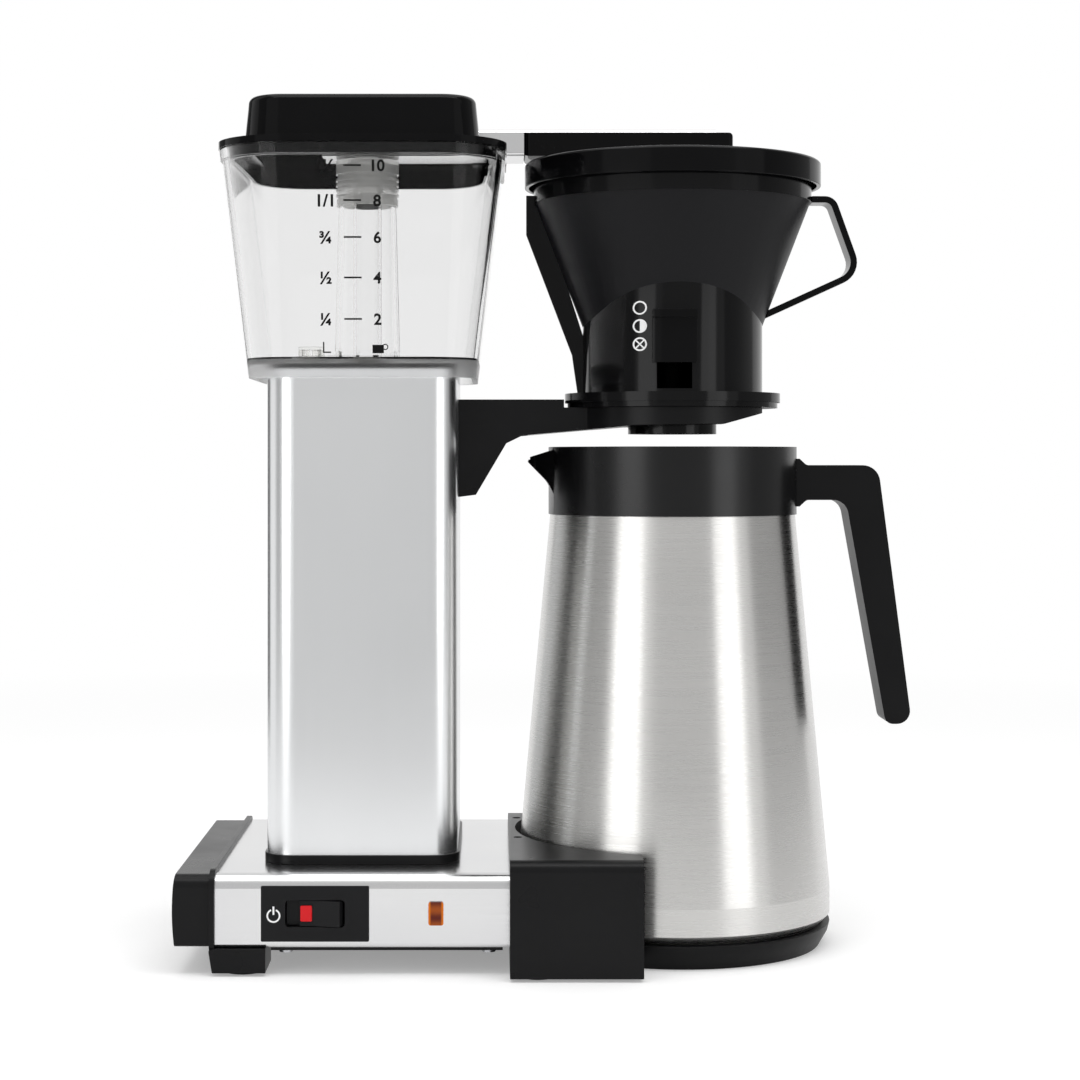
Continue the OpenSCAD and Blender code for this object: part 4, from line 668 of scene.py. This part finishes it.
# White polypropylene, of the terminal block and the thermostat, is waxy and even.
white = moulded("white_polypropylene", ("#dcdad2", "#e6e4dc"), rough=(0.4, 0.5), grain=1,
                depth=0.02)
dress(white, "terminal_block", "thermostat")

# Drawn copper has lines along the tube, cast aluminium is grey and pebbled, and zinc plate is a
# cool, even grey. Their marks are drawn 0.5 mm wide or more.
copper = metal("drawn_copper", ("#b07050", "#c08868"), rough=(0.25, 0.4), lines=(0.5, 0.5, 20),
               depth=0.02)
dress(copper, "heater_tube")
cast = metal("cast_aluminium", ("#8f9194", "#a8aaad"), rough=(0.45, 0.6), lines=(1.5, 1.5, 1.5),
             depth=0.1)
dress(cast, "heater_block")
zinc = metal("zinc_plate", ("#a9aaad", "#b9babd"), rough=(0.25, 0.4), lines=(3, 0.6, 0.6),
             depth=0.02)
dress(zinc, "bottom_screws", "holder_screws", "handle_screws", "heater_bracket")

# ---- Flask
# A spun stainless shell over a liner, brushed round the body. The base, collar and handle are
# moulded polypropylene: the collar sits over the shell's mouth and the handle is screwed to it.

# Brushed steel smears a highlight up and down but keeps it narrow across. Its lines are really
# about 0.1 mm wide, too fine to show, and are drawn 0.7 mm wide.
steel = metal("brushed_stainless_steel", ("#c4c3c1", "#c9c8c6"), rough=(0.26, 0.3),
              lines=(40, 40, 0.7), depth=0.004,
              settings=[("Anisotropic", 0.75), ("Anisotropic Rotation", 0.25)], tangent="Z")
dress(steel, "flask_shell", "flask_liner")

# Grained polypropylene is a dull, soft black. Its grain is drawn 0.7 mm wide to show.
flask_black = moulded("grained_polypropylene", ("#0a0a0b", "#0e0e0f"), rough=(0.36, 0.42),
                      grain=0.7, depth=0.01, settings=[LOW_GLARE])
softened("flask_base", 0.5, flask_black)
softened("flask_handle", 3.5, flask_black, segments=4)

# The collar's mould is finer: a deeper, silky black with a clearer highlight.
collar_black = moulded("silky_polypropylene", ("#060607", "#09090a"), rough=(0.24, 0.28),
                       grain=0.7, depth=0.01, settings=[("Specular IOR Level", 0.32)])
softened("flask_collar", 0.8, collar_black)
